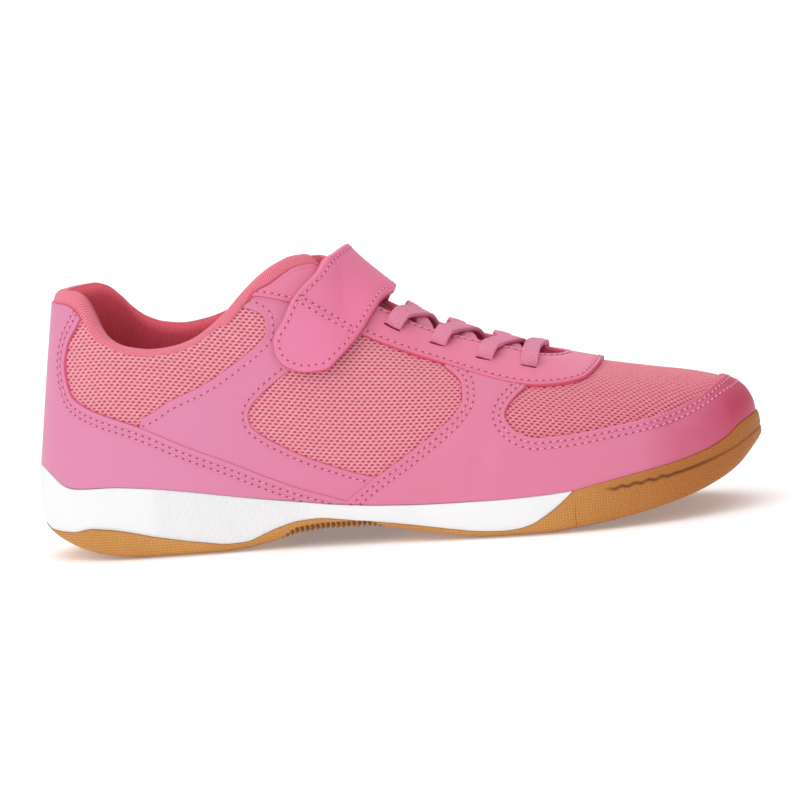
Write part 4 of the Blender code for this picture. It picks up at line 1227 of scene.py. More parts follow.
def forepart():
    """Saddle and toe cap in one, round the toe window; double rows along both windows."""
    halves = []
    for side in SIDES:
        back = edge_places(side, FOREPART_BACK)
        tucked = edge_places(side, FOREPART_TUCK)
        front = toe_edge(side)
        places = np.concatenate((back, tucked, front))
        places[:, 0] = side * (1.0 - places[:, 0])
        halves.append((places, len(back), len(back) + len(tucked)))
    (outer, outer_back, outer_front), (inner, inner_back, inner_front) = halves
    sole = np.linspace(inner[0, 0], outer[0, 0], 90)
    loop = np.concatenate((outer, inner[-2::-1], np.column_stack((sole, np.full(90, SOLE_SHARE)))[1:-1]))
    seams = (outer[:outer_back], inner[:inner_back], outer[outer_front:], inner[inner_front:])
    laid = panel("forepart_panel", toe_chart, loop, FOREPART_TOP, LEATHER, "forepart", FOREPART_ROWS,
                 seams, relief=dents(CREASES, *CREASE_AXES))
    window = np.concatenate((outer[outer_front:], inner[-2:inner_front - 1:-1]))
    for edge in (outer[:outer_back], window, inner[:inner_back][::-1]):
        sew_rows(toe_chart, edge, FOREPART_ROWS, laid, FOREPART_TOP)


def over_ridge(chart, outer, inner, crest_x, height=0.0):
    """Two lines, one on each side, joined by an arc that crosses the ridge squarely at crest_x."""
    low, high = (skin(side, *places[-5:].T, height)[:, :2] for side, places in zip(SIDES, (outer, inner)))
    middle = float(ridge_side(crest_x))
    across = smooth_line(np.concatenate((low, [[crest_x, middle]], high[::-1])), 1, 0)
    y = np.linspace(low[-1, 1], high[-1, 1], 42)[1:-1]
    spots = np.column_stack((across(y), y))
    rising = on_wall(OUTER, spots[y <= middle], height, PLAN_VIEW)
    falling = on_wall(INNER, spots[y > middle], height, PLAN_VIEW) * (1.0, -1.0) + (0.0, 2.0)
    arc = settle(chart, np.concatenate((rising, falling)), spots, height, PLAN_VIEW, 2.0)
    return np.concatenate((outer, arc, inner[::-1] * (1.0, -1.0) + (0.0, 2.0)))


def eyestay():
    """The eyestay from the collar's peak along both sides of the throat and round its front."""
    outer, inner = (edge_places(side, EYESTAY_EDGE) for side in SIDES)
    low_edge = softened(EYESTAY_CHART, over_ridge(EYESTAY_CHART, outer, inner, EYESTAY_FRONT), 60)
    near = CLOSING - (CLOSING - THROAT_BEND) * np.linspace(0.0, 1.0, 24) ** 2
    throat_stations = np.concatenate((near, np.linspace(THROAT_BEND - 0.005, outer[0, 0], 60)))
    tuck = np.where(throat_stations > PEAK[1], THROAT_TUCK, rim_tuck(throat_stations))
    outer_throat, inner_throat = (
        np.column_stack((throat_stations, edge_share(side, throat_stations) - tuck)) for side in SIDES)
    inner_throat = inner_throat[::-1] * (1.0, -1.0) + (0.0, 2.0)
    throat = np.concatenate((inner_throat[:-1], [[CLOSING + 0.004, 1.0]], outer_throat[1:]))
    loop = np.concatenate((low_edge, throat[1:-1]))
    laid = panel("eyestay_panel", EYESTAY_CHART, loop, EYESTAY_TOP, EYESTAY_LEATHER, "eyestay",
                 EYESTAY_ROWS, (low_edge, throat))
    sew_rows(EYESTAY_CHART, low_edge, EYESTAY_ROWS, laid, EYESTAY_TOP)
    sew_rows(EYESTAY_CHART, throat[throat[:, 0] > 0.5], THROAT_ROWS, laid, EYESTAY_TOP)


heel_counter()
quarter(OUTER, "quarter_outer_panel", "quarter_outer")
quarter(INNER, "quarter_inner_panel", "quarter_inner")
forepart()
eyestay()

# Mesh windows

NET_PITCH, NET_ROW = 1.85, 1.02
HOLE_HALF, HOLE_LEAN, HOLE_FOOT = (0.63, 0.36), 0.28, 0.86
NET_CREST, NET_RING, NET_SUNK = 0.4, 0.26, -0.2
NET_TUCK, NET_RISE, NET_STRAY = 2.0, 2.0, 0.6
NET_SPLIT, TOE_NET_LOW = 0.62, 26.0
# Where cells are looked for: the least and the largest x and length over the cloth.
SIDE_NET, TOE_NET = ((11.0, 0.0), (140.0, 90.0)), ((150.0, -48.0), (217.0, 48.0))
CLOTH_STEP = 0.5
CLOTH_X = np.arange(11.0, 219.0, CLOTH_STEP)
CLOTH_STEPS = np.linspace(0.0, 1.0, 121)
TOE_TIP = ((212.7, 37.8), (214.6, 41.0), (215.5, 60.0))
EYESTAY_TIP = ((178.4, 44.8), (179.6, 47.2), (180.0, 54.0))
PANEL_OUTLINES = (
    COUNTER_EDGE + ((104.0, -10.0), (-20.0, -10.0), (-20.0, 110.0), (25.0, 110.0)),
    QUARTER_WINDOW + EYESTAY_EDGE[5::-1] + COLLAR_WINDOW[::-1] + COUNTER_EDGE[7:],
    FOREPART_BACK + EYESTAY_EDGE[7:11] + TOE_WINDOW + TOE_TIP + ((240.0, 60.0), (240.0, 0.0), (97.0, 0.0)),
    EYESTAY_EDGE + EYESTAY_TIP + ((180.0, 130.0), (66.0, 130.0)))
# A cell of the net: its six corners in half steps and rows, and its faces, which number the corners first,
# then the eight points of the hole's rim and the eight of its foot.
CELL_CORNERS = ((-1, 0), (0, 0), (1, 0), (1, 1), (0, 1), (-1, 1))
CELL_FACES = (
    [0, 1, 7, 6], [1, 2, 8, 7], [3, 4, 11, 10], [4, 5, 12, 11],
    *([6 + k, 6 + (k + 1) % 8, 14 + (k + 1) % 8, 14 + k] for k in range(8)),
    [2, 3, 9], [2, 9, 8], [3, 10, 9], [5, 0, 13], [0, 6, 13], [5, 13, 12])


def cross_sections(side):
    """At each x, a line over the wall from the sole to the crest: its stations, shares and lengths."""
    crest = wall(side, 1.0, CLOTH_STEPS)[60:, 0]
    top = np.interp(-CLOTH_X, -crest, CLOTH_STEPS[60:])
    share = top[:, None] * (1.0 - (1.0 - CLOTH_STEPS) ** 2)[None, :]
    station = first_hit(lambda place: wall(side, place, share)[..., 0] >= CLOTH_X[:, None],
                        np.zeros_like(share), np.ones_like(share), 26)
    step = np.linalg.norm(np.diff(wall(side, station, share), axis=1), axis=2)
    length = np.concatenate((np.zeros((len(CLOTH_X), 1)), np.cumsum(step, axis=1)), axis=1)
    return station, share, length


def on_section(sections, x, along, from_crest):
    """Station and share at an x and a length up the wall, or down from the crest."""
    station, share, length = sections
    place = np.clip((x - CLOTH_X[0]) / CLOTH_STEP, 0.0, len(CLOTH_X) - 1.001)
    row = place.astype(int)
    part = place - row
    found = np.zeros((len(x), 2))
    for r in np.unique(row):
        here = row == r
        for k, weight in ((r, 1.0 - part[here]), (r + 1, part[here])):
            up = length[k, -1] - along[here] if from_crest else along[here]
            t = np.interp(up, length[k], CLOTH_STEPS)
            for column, values in enumerate((station[k], share[k])):
                found[here, column] += np.interp(t, CLOTH_STEPS, values) * weight
    return found


def uncovered(xz):
    """Which places in side view show through the panels, or lie just under their edges."""
    keep = np.ones(len(xz), bool)
    for polygon in PANEL_OUTLINES:
        edge = np.array(polygon)
        dense = np.concatenate([np.linspace(a, b, max(2, int(np.hypot(*(b - a)))), endpoint=False)
                                for a, b in zip(edge, np.roll(edge, -1, axis=0))])
        tree = tree_of(np.insert(dense, 1, 0.0, axis=1))
        deep = inside(xz, edge)
        deep[deep] = distance_to(tree, np.insert(xz[deep], 1, 0.0, axis=1)) > NET_TUCK
        keep &= ~deep
    return keep


def lattice(name, place, low, high):
    """A net of staggered holes; place gives points over the cloth for x, length along and height."""
    rows = np.arange(int(low[1] / NET_ROW), int(high[1] / NET_ROW))
    columns = np.arange(int(low[0] / NET_PITCH), int(high[0] / NET_PITCH))
    i, j = (g.ravel() for g in np.meshgrid(columns, rows))
    half_steps = 2 * i + j % 2
    points, valid = place(half_steps * NET_PITCH / 2.0, j * NET_ROW, np.zeros(len(i)))
    valid &= uncovered(points[:, (0, 2)])
    half_steps, j = half_steps[valid], j[valid]
    corners = np.array([(half_steps + dx, j + dy) for dx, dy in CELL_CORNERS]).transpose(2, 0, 1)
    unique, index = np.unique(corners.reshape(-1, 2), axis=0, return_inverse=True)
    border, _ = place(unique[:, 0] * NET_PITCH / 2.0, (unique[:, 1] - 0.5) * NET_ROW,
                      np.full(len(unique), NET_CREST))
    angles = np.radians(np.arange(-135, 181, 45))
    rings = []
    for swell, height in ((1.0, NET_RING), (HOLE_FOOT, NET_SUNK)):
        off_y = np.sin(angles) * HOLE_HALF[1] * swell
        off_x = np.cos(angles) * HOLE_HALF[0] * swell + off_y * HOLE_LEAN
        x = (half_steps[:, None] * NET_PITCH / 2.0 + off_x[None]).ravel()
        y = (j[:, None] * NET_ROW + off_y[None]).ravel()
        rings.append(place(x, y, np.full(len(x), height))[0])
    count = len(j)
    ring = len(unique) + np.arange(count)[:, None] * 8 + np.arange(8)[None]
    cell = np.concatenate((index.reshape(count, 6), ring, ring + count * 8), axis=1)
    faces = [tuple(f) for face in CELL_FACES for f in cell[:, face]]
    add_piece(name, np.concatenate((border, *rings)), faces, NET_CLOTH, "upper", "mesh_cloth")


def mesh_windows():
    """The net in the two side windows of each side, and over the toe in one piece."""
    sections = {side: cross_sections(side) for side in SIDES}

    def beside(side):
        def place(x, along, height):
            station, share = on_section(sections[side], x, along, False).T
            end, per_mm, _ = rim_frame(side, station)
            rise = (share - end) / per_mm
            points = past_rim(side, station, rise, height)
            near = (np.abs(points[:, 0] - x) < NET_STRAY) & (station < NET_SPLIT)
            return points, near & (rise < NET_RISE)
        return place

    def over_toe(x, along, height):
        inner = along > 0.0
        found = np.where(inner[:, None], *(on_section(sections[side], x, np.abs(along), True)
                                           for side in (INNER, OUTER)))
        points = two_sided(*found.T, inner, height)
        on_toe = (found[:, 0] >= NET_SPLIT) & (points[:, 2] > TOE_NET_LOW)
        return points, on_toe & (np.abs(points[:, 0] - x) < NET_STRAY)

    lattice("net_outer", beside(OUTER), *SIDE_NET)
    lattice("net_inner", beside(INNER), *SIDE_NET)
    lattice("net_toe", over_toe, *TOE_NET)


mesh_windows()

# Collar

BINDING_HEIGHT, BINDING_TURN = 0.65, 0.58 * math.pi
BINDING_END = 0.492
# Where the tape starts, up from the collar's edge: over the panels, at the collar's peak and over the net.
TAPE_OVER_PANEL, TAPE_AT_PEAK, TAPE_OVER_NET = -0.9, -2.9, 1.25
# The stretch of the rim, in x, where the tape borders the net.
NETTED_RIM, NETTED_FADE = (25.0, 69.0), 5.0
# The tape's rolled lower border: up from its start, share of its height.
TAPE_BORDER = ((0.0, -0.2), (0.04, 0.4), (0.25, 0.83), (0.7, 1.0))
# Its inner border: turn past its end, share of its height.
TAPE_INNER_BORDER = ((0.03, 0.5), (0.05, 0.5), (0.05, -1.0))
LINING_DEPTH, LINING_PITCH, LINING_RIB, LINING_LIFT = 46.0, 1.15, 0.3, 0.15
LINING_END, LINING_LOW = 0.46, 0.06


def band(name, strips, surface):
    """A cloth band from a strip of rows on each side, with lengths along and across it for its weave."""
    points, faces, uv = [], [], []
    for side, rows in strips:
        rows = np.array(rows)
        rise = np.linalg.norm(np.diff(rows, axis=0), axis=2).mean(axis=1)
        rise = np.concatenate(([0.0], np.cumsum(rise)))
        run = side * run_length(rows[len(rows) // 3])
        uv.append(np.stack(np.broadcast_arrays(run[None, :], rise[:, None]), axis=-1).reshape(-1, 2))
        faces.append(grid_faces(*rows.shape[:2], False, sum(map(len, points))))
        points.append(rows.reshape(-1, 3))
    weld(add_piece(name, np.concatenate(points), np.concatenate(faces), surface, "upper", "mesh_cloth",
                   uv=np.concatenate(uv)))


def binding():
    """A knitted tape rolled over the outer part of the collar's edge."""
    stations = np.linspace(0.0, BINDING_END, 300)
    flat = np.full(300, BINDING_HEIGHT)
    strips = []
    for side in SIDES:
        end, _, thick = rim_frame(side, stations)
        x = wall(side, stations, end)[:, 0]
        netted = ease((x - NETTED_RIM[0]) / NETTED_FADE) * ease((NETTED_RIM[1] - x) / NETTED_FADE)
        start = TAPE_OVER_PANEL + (TAPE_OVER_NET - TAPE_OVER_PANEL) * netted
        start += (TAPE_AT_PEAK - TAPE_OVER_PANEL) * at_peak(stations)
        rows = [past_rim(side, stations, start + up, flat * height) for up, height in TAPE_BORDER]
        low, high = start + TAPE_BORDER[-1][0], BINDING_TURN * thick / 2.0
        for t in np.linspace(0.0, 1.0, 11)[1:]:
            rows.append(past_rim(side, stations, low + (high - low) * t, flat))
        for turn, share in TAPE_INNER_BORDER:
            rows.append(past_rim(side, stations, (BINDING_TURN + turn) * thick / 2.0, flat * share))
        strips.append((side, rows))
    band("collar_binding", strips, BINDING_KNIT)


def lining():
    """The padded lining from the tape down, with upright ribs."""
    stations = np.linspace(0.0, LINING_END, 640)
    strips = []
    for side in SIDES:
        end, per_mm, rim_thick = rim_frame(side, stations)
        top = wall(side, stations, end)
        rib = LINING_RIB * np.abs(np.sin(math.pi * run_length(top) / LINING_PITCH)) ** 0.8
        rows = [past_rim(side, stations, turn * rim_thick / 2.0, LINING_LIFT + rib)
                for turn in np.linspace(BINDING_TURN - 0.05, math.pi, 8)]
        for depth in np.linspace(0.0, LINING_DEPTH, 20)[1:]:
            share = np.maximum(end - depth * per_mm, LINING_LOW)
            drop = 1.0 - (top[:, 2] - wall(side, stations, share)[:, 2]) / COLLAR_PAD_DEPTH
            thick = WALL + collar_pad(stations) * ease(drop)
            rows.append(skin(side, stations, share, -thick - LINING_LIFT - rib))
        strips.append((side, rows))
    band("collar_lining", strips, LINING_KNIT)


binding()
lining()

# Tongue and insole

TONGUE_OVERLAP = 4.5
TONGUE_ROUND, TONGUE_EDGE, TONGUE_END = 0.12, 1.0 / 14.0, 1.0 / 160.0
TONGUE_LIFT, TONGUE_LIFT_END, LIFT_FADE, LIFT_CLEAR = 3.4, 113.0, 8.0, 4.0
TONGUE_STATIONS = (0.482, 0.745)
TONGUE_TOP = -(WALL + GAP + 0.15)
INSOLE_CLEAR, INSOLE_ROUND, INSOLE_EDGE = 0.2, 0.7, 0.05
DISH_DEPTH, DISH_FRONT, DISH_FADE = 0.6, 90.0, 40.0


def share_at_half(side, station, half):
    """The share at which the wall is some distance from the middle of the instep."""
    def past(share):
        x, y, _ = wall(side, station, share).T
        return np.abs(y - ridge_side(x)) <= half

    return first_hit(past, np.zeros_like(station), np.ones_like(station))


def tongue():
    """A padded tongue under the throat, soft at its edges."""
    rows, columns = 61, 110
    stations = np.linspace(*TONGUE_STATIONS, columns)
    half = throat_line(section[TOP_X](stations)) + TONGUE_OVERLAP
    start, end = share_at_half(OUTER, stations, half), 2.0 - share_at_half(INNER, stations, half)
    across = np.linspace(0.0, 1.0, rows)
    v = start[None, :] + (end - start)[None, :] * across[:, None]
    round_off = np.minimum(np.minimum(across, 1.0 - across)[:, None] / TONGUE_EDGE,
                           np.minimum(stations - stations[0], stations[-1] - stations) / TONGUE_END)
    puff = np.sqrt(1.0 - (1.0 - np.clip(round_off, 0.0, 1.0)) ** 2)
    u = np.broadcast_to(stations[None, :], v.shape)
    chart = rounded_chart(TONGUE_ROUND)
    at = chart(u, v, 0.0)
    clear = throat_line(at[..., 0]) - np.abs(at[..., 1] - ridge_side(at[..., 0]))
    lift = TONGUE_LIFT * ease((TONGUE_LIFT_END - at[..., 0]) / LIFT_FADE) * ease(clear / LIFT_CLEAR)
    middle = TONGUE_TOP - TONGUE_THICKNESS / 2.0 + lift
    top = chart(u, v, middle + puff * TONGUE_THICKNESS / 2.0)
    below = chart(u, v, middle - puff * TONGUE_THICKNESS / 2.0)
    points = np.concatenate((top.reshape(-1, 3), below.reshape(-1, 3)))
    under_faces = grid_faces(rows, columns, False, rows * columns)[:, ::-1]
    faces = np.concatenate((grid_faces(rows, columns), under_faces))
    weld(add_piece("tongue_pad", points, faces, TONGUE_CLOTH, "tongue", "lining_cloth"))


def insole():
    """The footbed's cloth-covered insole, dished a little at the heel."""
    stations = np.linspace(0.0, 1.0, 180)
    inset = FEATHER_INSET + WALL + GAP + INSOLE_CLEAR
    rings = {}
    for side in SIDES:
        plan, outward = outline(side, stations)
        rings[side] = np.column_stack((plan - inset * outward, footbed_line(plan[:, 0]) + GAP))
    across = np.linspace(0.0, 1.0, 31)[:, None, None]
    low = rings[OUTER][None] + (rings[INNER] - rings[OUTER])[None] * across
    rounded = np.clip(np.minimum(across, 1.0 - across)[..., 0] / INSOLE_EDGE, 0.0, 1.0)
    high = low.copy()
    high[..., 2] += INSOLE_THICKNESS - INSOLE_ROUND * (1.0 - np.sqrt(rounded * (2.0 - rounded)))
    dish = DISH_DEPTH * np.sin(math.pi * across[..., 0])
    high[..., 2] -= dish * ease((DISH_FRONT - high[..., 0]) / DISH_FADE)
    points = np.concatenate((high, low[::-1]))
    faces = grid_faces(len(points), 180, True)
    weld(add_piece("insole_sheet", points.reshape(-1, 3), faces, INSOLE_CLOTH, "insole", "lining_cloth"))


tongue()
insole()

# Strap

STRAP_HEIGHT, STRAP_THICKNESS, STRAP_ROUNDING = 2.5, 2.2, 2.6
STRAP_CREST = (102.0, 117.0)
STRAP_CHART = rounded_chart(0.12)
STRAP_ROW = 2.1
STRAP_SEAM = ((90.2, 75.6), (105.2, 65.0))
STRAP_SEAM_GAP = 1.6
STRAP_DENTS = (
    (97.0, 72.0, 16.0, 3.0, 0.35), (92.0, 61.0, 14.0, 5.0, -0.3), (106.0, 75.0, 14.0, 3.5, -0.25))
STRAP_AXES = (0.57, 0.82), (0.82, -0.57)


def strap():
    """The strap over the instep, with stitches round its edge and a double seam across each end."""
    mid = STRAP_HEIGHT + STRAP_THICKNESS / 2.0
    down = np.concatenate((STRAP_BACK[1:-1], STRAP_END[:3]))[::-1]
    up = np.concatenate((STRAP_END[2:-1], STRAP_FRONT[:-1]))

    def edge_over(edge, crest):
        places = [on_wall(side, smooth_path(edge, 1.0), mid) for side in SIDES]
        return over_ridge(STRAP_CHART, *places, crest, mid)

    back, front = map(edge_over, (down, up), STRAP_CREST)
    loop = softened(STRAP_CHART, np.concatenate((back[::-1], front[1:-1])), 6, True)
    laid = panel("strap_panel", STRAP_CHART, loop, STRAP_THICKNESS, STRAP_LEATHER, "strap", (STRAP_ROW,),
                 (loop,), STRAP_HEIGHT, dents(STRAP_DENTS, *STRAP_AXES), STRAP_ROUNDING)
    top = STRAP_HEIGHT + STRAP_THICKNESS
    sew_rows(STRAP_CHART, np.concatenate((loop, loop[:1])), (STRAP_ROW,), laid, top)
    for side in SIDES:
        seam = on_wall(side, smooth_path(STRAP_SEAM, 0.7), top)
        chart = side_chart(side)
        for shift in (0.0, STRAP_SEAM_GAP):
            sew(chart, moved(chart, seam, shift, 1.0, False), top)


strap()
for name, surface in (("stitching", THREAD), ("needle_hole_shade", THREAD_HOLE_SHADE)):
    add_piece(name, *map(np.concatenate, sewn[name]), surface, "forepart", "overlay_leather")

# Laces

LACE_HOLES = ((116.5, 16.5), (130.0, 16.5), (144.0, 18.5), (157.5, 18.5))
LACE_WIDTH, LACE_THICKNESS = 5.3, 1.7
# The flat lace's section with its rolled border: inwards from an edge, share of half its thickness.
LACE_PROFILE = ((0.0, 0.0), (0.12, 0.6), (0.36, 0.9), (0.75, 0.84), (0.96, 0.78), (1.85, 0.96))
# Height of a lace over the instep by the distance from its hole: it comes up through a slot, bows over the
# eyestay and sinks towards the throat; at its far end it dives under the other edge to the next hole.
LACE_SINK = -2.4
LACE_RISE = ((0.0, LACE_SINK), (0.7, 1.0), (2.0, 3.2), (4.2, 4.0), (7.2, 2.9))
LACE_DIVE = ((0.0, LACE_SINK), (6.2, LACE_SINK), (8.6, -0.8))
LACE_MIDDLE = {OUTER: 1.5, INNER: -0.1}
BAR_MIDDLE = 1.6
INSTEP_STATIONS, INSTEP_SHARES = (0.48, 0.78), (0.4, 1.6)
SLOT_HALF, SLOT_WIDTH, SLOT_SQUARENESS = 2.5, 0.36, 0.6
SLOT_LIFT, SLOT_TOP, SLOT_DEPTH = 0.04, (0.0, 0.0, 0.03), (0.0, 0.0, 1.0)
SLOT_POINTS = 24
ABOVE_SHOE = 200.0


def instep_tree():
    """The instep's surface, to find the height under a lace."""
    u, v = np.meshgrid(np.linspace(*INSTEP_STATIONS, 121), np.linspace(*INSTEP_SHARES, 161), indexing="ij")
    points = ridge_chart(u.ravel(), v.ravel(), 0.0)
    return BVHTree.FromPolygons(points.tolist(), grid_faces(*u.shape).tolist())


def on_instep(surface, x, y):
    """The point of the instep straight below a place, and the direction off it."""
    at, normal, _, _ = surface.ray_cast((x, y, ABOVE_SHOE), (0.0, 0.0, -1.0))
    return np.array(at), np.array(normal if normal[2] > 0.0 else -normal)


def lace_section():
    """The lace's section: across and up, all the way round."""
    inward, up = np.array(LACE_PROFILE).T
    across, up = inward - LACE_WIDTH / 2.0, up * LACE_THICKNESS / 2.0
    half = np.concatenate((np.column_stack((across, up)), np.column_stack((-across, up))[:0:-1]))
    return np.concatenate((half, -half))


def lace(surface, first, last, middle, far_end):
    """One lace between two holes seen from above; far_end is the shape of its last part."""
    t = np.linspace(0.0, 1.0, 110)
    plan = np.array(first) + (np.array(last) - np.array(first)) * t[:, None]
    base, normal = map(np.array, zip(*(on_instep(surface, x, y) for x, y in plan)))
    for _ in range(6):
        normal[1:-1] = (normal[:-2] + normal[1:-1] + normal[2:]) / 3.0
    span = np.linalg.norm(plan[-1] - plan[0])
    arrival = [(span - along, height) for along, height in far_end[::-1]]
    level = [(span / 2.0 + along, middle) for along in (-2.0, 2.0)]
    lift = smooth_line([*LACE_RISE, *level, *arrival])(t * span)
    path = base + normal * lift[:, None]
    along = unit(np.gradient(path, axis=0))
    across = unit(np.cross(normal, along))
    up = np.cross(along, across)
    round_lace = lace_section()
    rows = np.array([path + across * a + up * b for a, b in round_lace])
    place = np.stack(np.broadcast_arrays(run_length(path)[None, :], round_lace[:, :1]), axis=-1)
    return rows, place


def lace_hole(number, side):
    """Where a lace comes up through the eyestay, seen from above."""
    x, away = LACE_HOLES[number]
    return x, float(ridge_side(x)) + side * away


def laces():
    """Three crossings and a bar: the strands from the outer side lie over those from the inner side."""
    surface = instep_tree()
    strands = [(lace_hole(3, OUTER), lace_hole(3, INNER), BAR_MIDDLE, LACE_RISE)]
    for number in range(3):
        for side in SIDES:
            ends = lace_hole(number, side), lace_hole(number + 1, -side)
            strands.append((*ends, LACE_MIDDLE[side], LACE_DIVE))
    points, faces, uv = [], [], []
    for strand in strands:
        rows, place = lace(surface, *strand)
        size, count = rows.shape[:2]
        start = sum(map(len, points))
        faces.extend(grid_faces(size, count, True, start).tolist())
        faces.append([start + k * count for k in range(size)])
        faces.append([start + k * count + count - 1 for k in range(size)][::-1])
        points.append(rows.reshape(-1, 3))
        uv.append(place.reshape(-1, 2))
    weld(add_piece("lace_strands", np.concatenate(points), faces, LACE_ELASTIC, "laces", "lace_elastic",
                   uv=np.concatenate(uv)))


def slot(surface, x, y):
    """One punched slot: points of its rim on the eyestay, then its middle above and below."""
    rim = []
    for a in np.linspace(0.0, 2.0 * math.pi, SLOT_POINTS + 1)[:-1]:
        reach = SLOT_HALF * np.sign(math.cos(a)) * abs(math.cos(a)) ** SLOT_SQUARENESS
        at, off = on_instep(surface, x + reach, y + SLOT_WIDTH * math.sin(a))
        rim.append(at + off * (EYESTAY_TOP + SLOT_LIFT))
    middle = np.mean(rim, axis=0)
    return rim + [middle + SLOT_TOP, middle - SLOT_DEPTH]


def slots():
    """Punched slots in the eyestay as dark lenses of painted shade, one wherever a lace comes up through
    it.
    """
    surface = instep_tree()
    made = [slot(surface, *lace_hole(number, side)) for number in range(len(LACE_HOLES)) for side in SIDES]
    faces = copies(lens_faces(SLOT_POINTS), len(made), len(made[0]), 0)
    weld(add_piece("lace_slot_shade", np.concatenate(made), faces, SLOT_SHADE, "eyestay", "overlay_leather"))


laces()
slots()

# Sole

# Rows of the sole's side from the tread to the footbed: how far in each lies, and three by their place.
SOLE_INSETS = (6.0, 2.0, 0.6, 0.0, 0.4, 0.9, 1.6, CUP_INSET, CUP_INSET)
EDGE_ROW, FEATHER_ROW, FOOTBED_ROW = 1.0, 6.0, 8.0
GUM_PROUD, PROUD_FADE, PROUD_START, PROUD_RUN_IN = 0.25, 0.6, 0.5, 1.5
SEAM_HEIGHT = 0.4
# How dark the painted shade makes the gum in its seam, teeth, grooves and cuts, and how fast the waffle
# fades towards them.
SEAM_SHADE, TOOTH_SHADE, TREAD_TOOTH_SHADE = 0.75, 0.8, 0.7
FLEX_SHADE, CUT_SHADE, WAFFLE_FADE = 0.8, 0.88, 2.0
CUP_BACK, FOAM_FRONT = 170.7, 170.2
BED_LIFT, BED_FRONT, BED_FADE = 1.5, 30.0, 10.0
GUM_ROWS, TREAD_ROWS = 48, 30
# How the rows of the cup's side spread from its tread to the footbed: share of the rows, row place.
CUP_SPREAD = (
    (0.0, 0.0), (0.1, 1.0), (0.2, 2.0), (0.28, 3.0), (0.72, 4.0), (0.84, 5.0), (0.92, 6.0), (1.0, 8.0))
# Grooves across the tread: x, half length, depth.
FLEX_GROOVES = (
    (40.0, 22.0, 1.2), (52.0, 22.0, 1.2), (143.0, 26.0, 1.1), (157.0, 29.0, 1.1), (172.0, 30.0, 1.6))
FLEX_HALF, FLEX_FLANK, FLEX_END = 1.5, 0.6, 2.0
TOE_GROOVE = (
    (178.0, 12.0), (180.8, 12.2), (190.3, 13.2), (202.1, 14.8), (211.0, 16.9), (218.2, 19.4), (225.0, 23.0))
GROOVE_START, GROOVE_RUN_IN, GROOVE_FADE, GROOVE_FADED = 179.0, 4.0, (206.0, 14.0), 0.5
GROOVE_CUT, GROOVE_HALF, GROOVE_TOP_ROW = 0.6, 0.45, 5.0
GROOVE_WAVE, GROOVE_WAVE_PITCH, GROOVE_WAVE_END, GROOVE_WAVE_FADE = 0.28, 4.0, 203.0, 6.0
TEETH, TEETH_FADES = (75.0, 118.0), (10.0, 14.0)
TOOTH_PITCH, TOOTH_HEIGHT, TOOTH_DEPTH, TOOTH_RISE = 1.63, 2.8, 0.9, 0.9
TOOTH_FADE, TOOTH_FULLNESS = 0.8, 0.7
# Stretches with columns close together: from x, to x, step.
CLOSE_COLUMNS = ((*TEETH, 0.22), (150.0, 176.0, 0.5))
toe_groove = smooth_line(TOE_GROOVE)


def sole_heights(x):
    """Heights of the sole's rows at an x, from the tread to the footbed."""
    low, top = bottom_line(x), feather_line(x)
    waist = 0.6 * low + 0.4 * top
    rising = (low, low + 0.9, low + 2.6, waist, top - 1.4, top - 0.2, top)
    return np.array((*rising, top - 0.5, footbed_line(x)))


def through(knots, t):
    """Values at row places t of columns of knots, without swinging past the knots."""
    grade = np.diff(knots, axis=0)
    slope = np.concatenate((grade[:1], np.zeros_like(grade[1:]), grade[-1:]))
    same = grade[:-1] * grade[1:] > 0.0
    before, after = np.where(same, grade[:-1], 1.0), np.where(same, grade[1:], 1.0)
    slope[1:-1] = np.where(same, 2.0 * before * after / (before + after), 0.0)
    i = np.clip(t.astype(int), 0, len(grade) - 1)
    f = t - i
    c = np.arange(knots.shape[1])[None, :]
    ends = knots[i, c] * (1.0 + 2.0 * f) * (1.0 - f) ** 2 + knots[i + 1, c] * f * f * (3.0 - 2.0 * f)
    return ends + f * (1.0 - f) * (slope[i, c] * (1.0 - f) - slope[i + 1, c] * f)


def sole_side(side, stations, t):
    """Points of the sole's side at row places t, and the outward direction of each column."""
    plan, outward = outline(side, stations)
    inset = through(np.repeat(np.array(SOLE_INSETS)[:, None], len(stations), axis=1), t)
    height = through(sole_heights(plan[:, 0]), t)
    flat = plan[None] - inset[..., None] * outward[None]
    return np.concatenate((flat, height[..., None]), axis=2), outward


def row_at_split(side, stations, low, high, falling):
    """The row place at which the sole's side meets the line between its two layers."""
    t = np.linspace(low, high, 241)[:, None] + np.zeros(len(stations))[None, :]
    points, _ = sole_side(side, stations, t)
    gap = points[..., 2] - split_line(points[..., 0])
    gap = -gap if falling else gap
    first = np.argmax(gap >= 0.0, axis=0)
    none = ~(gap >= 0.0).any(axis=0)
    c = np.arange(len(stations))
    before = np.maximum(first - 1, 0)
    share = np.clip(-gap[before, c] / np.maximum(gap[first, c] - gap[before, c], 1e-9), 0.0, 1.0)
    found = t[before, c] + (t[first, c] - t[before, c]) * np.where(first > 0, share, 0.0)
    return np.where(none, high, found)


def station_at(side, x):
    """The station at which a side of the sole reaches an x."""
    share, path, _ = SOLE_SIDES[side]
    return np.interp(x, path[:, 0], share)


def outsole_stations():
    """Columns of the outsole, close together at the arch's teeth and where the split line rises."""
    parts = [np.linspace(0.0, 1.0, 300)]
    for low, high, step in CLOSE_COLUMNS:
        ends = [station_at(side, x) for side in SIDES for x in (low, high)]
        parts.append(np.linspace(min(ends), max(ends), int((high - low) / step)))
    return np.unique(np.concatenate(parts).round(5))


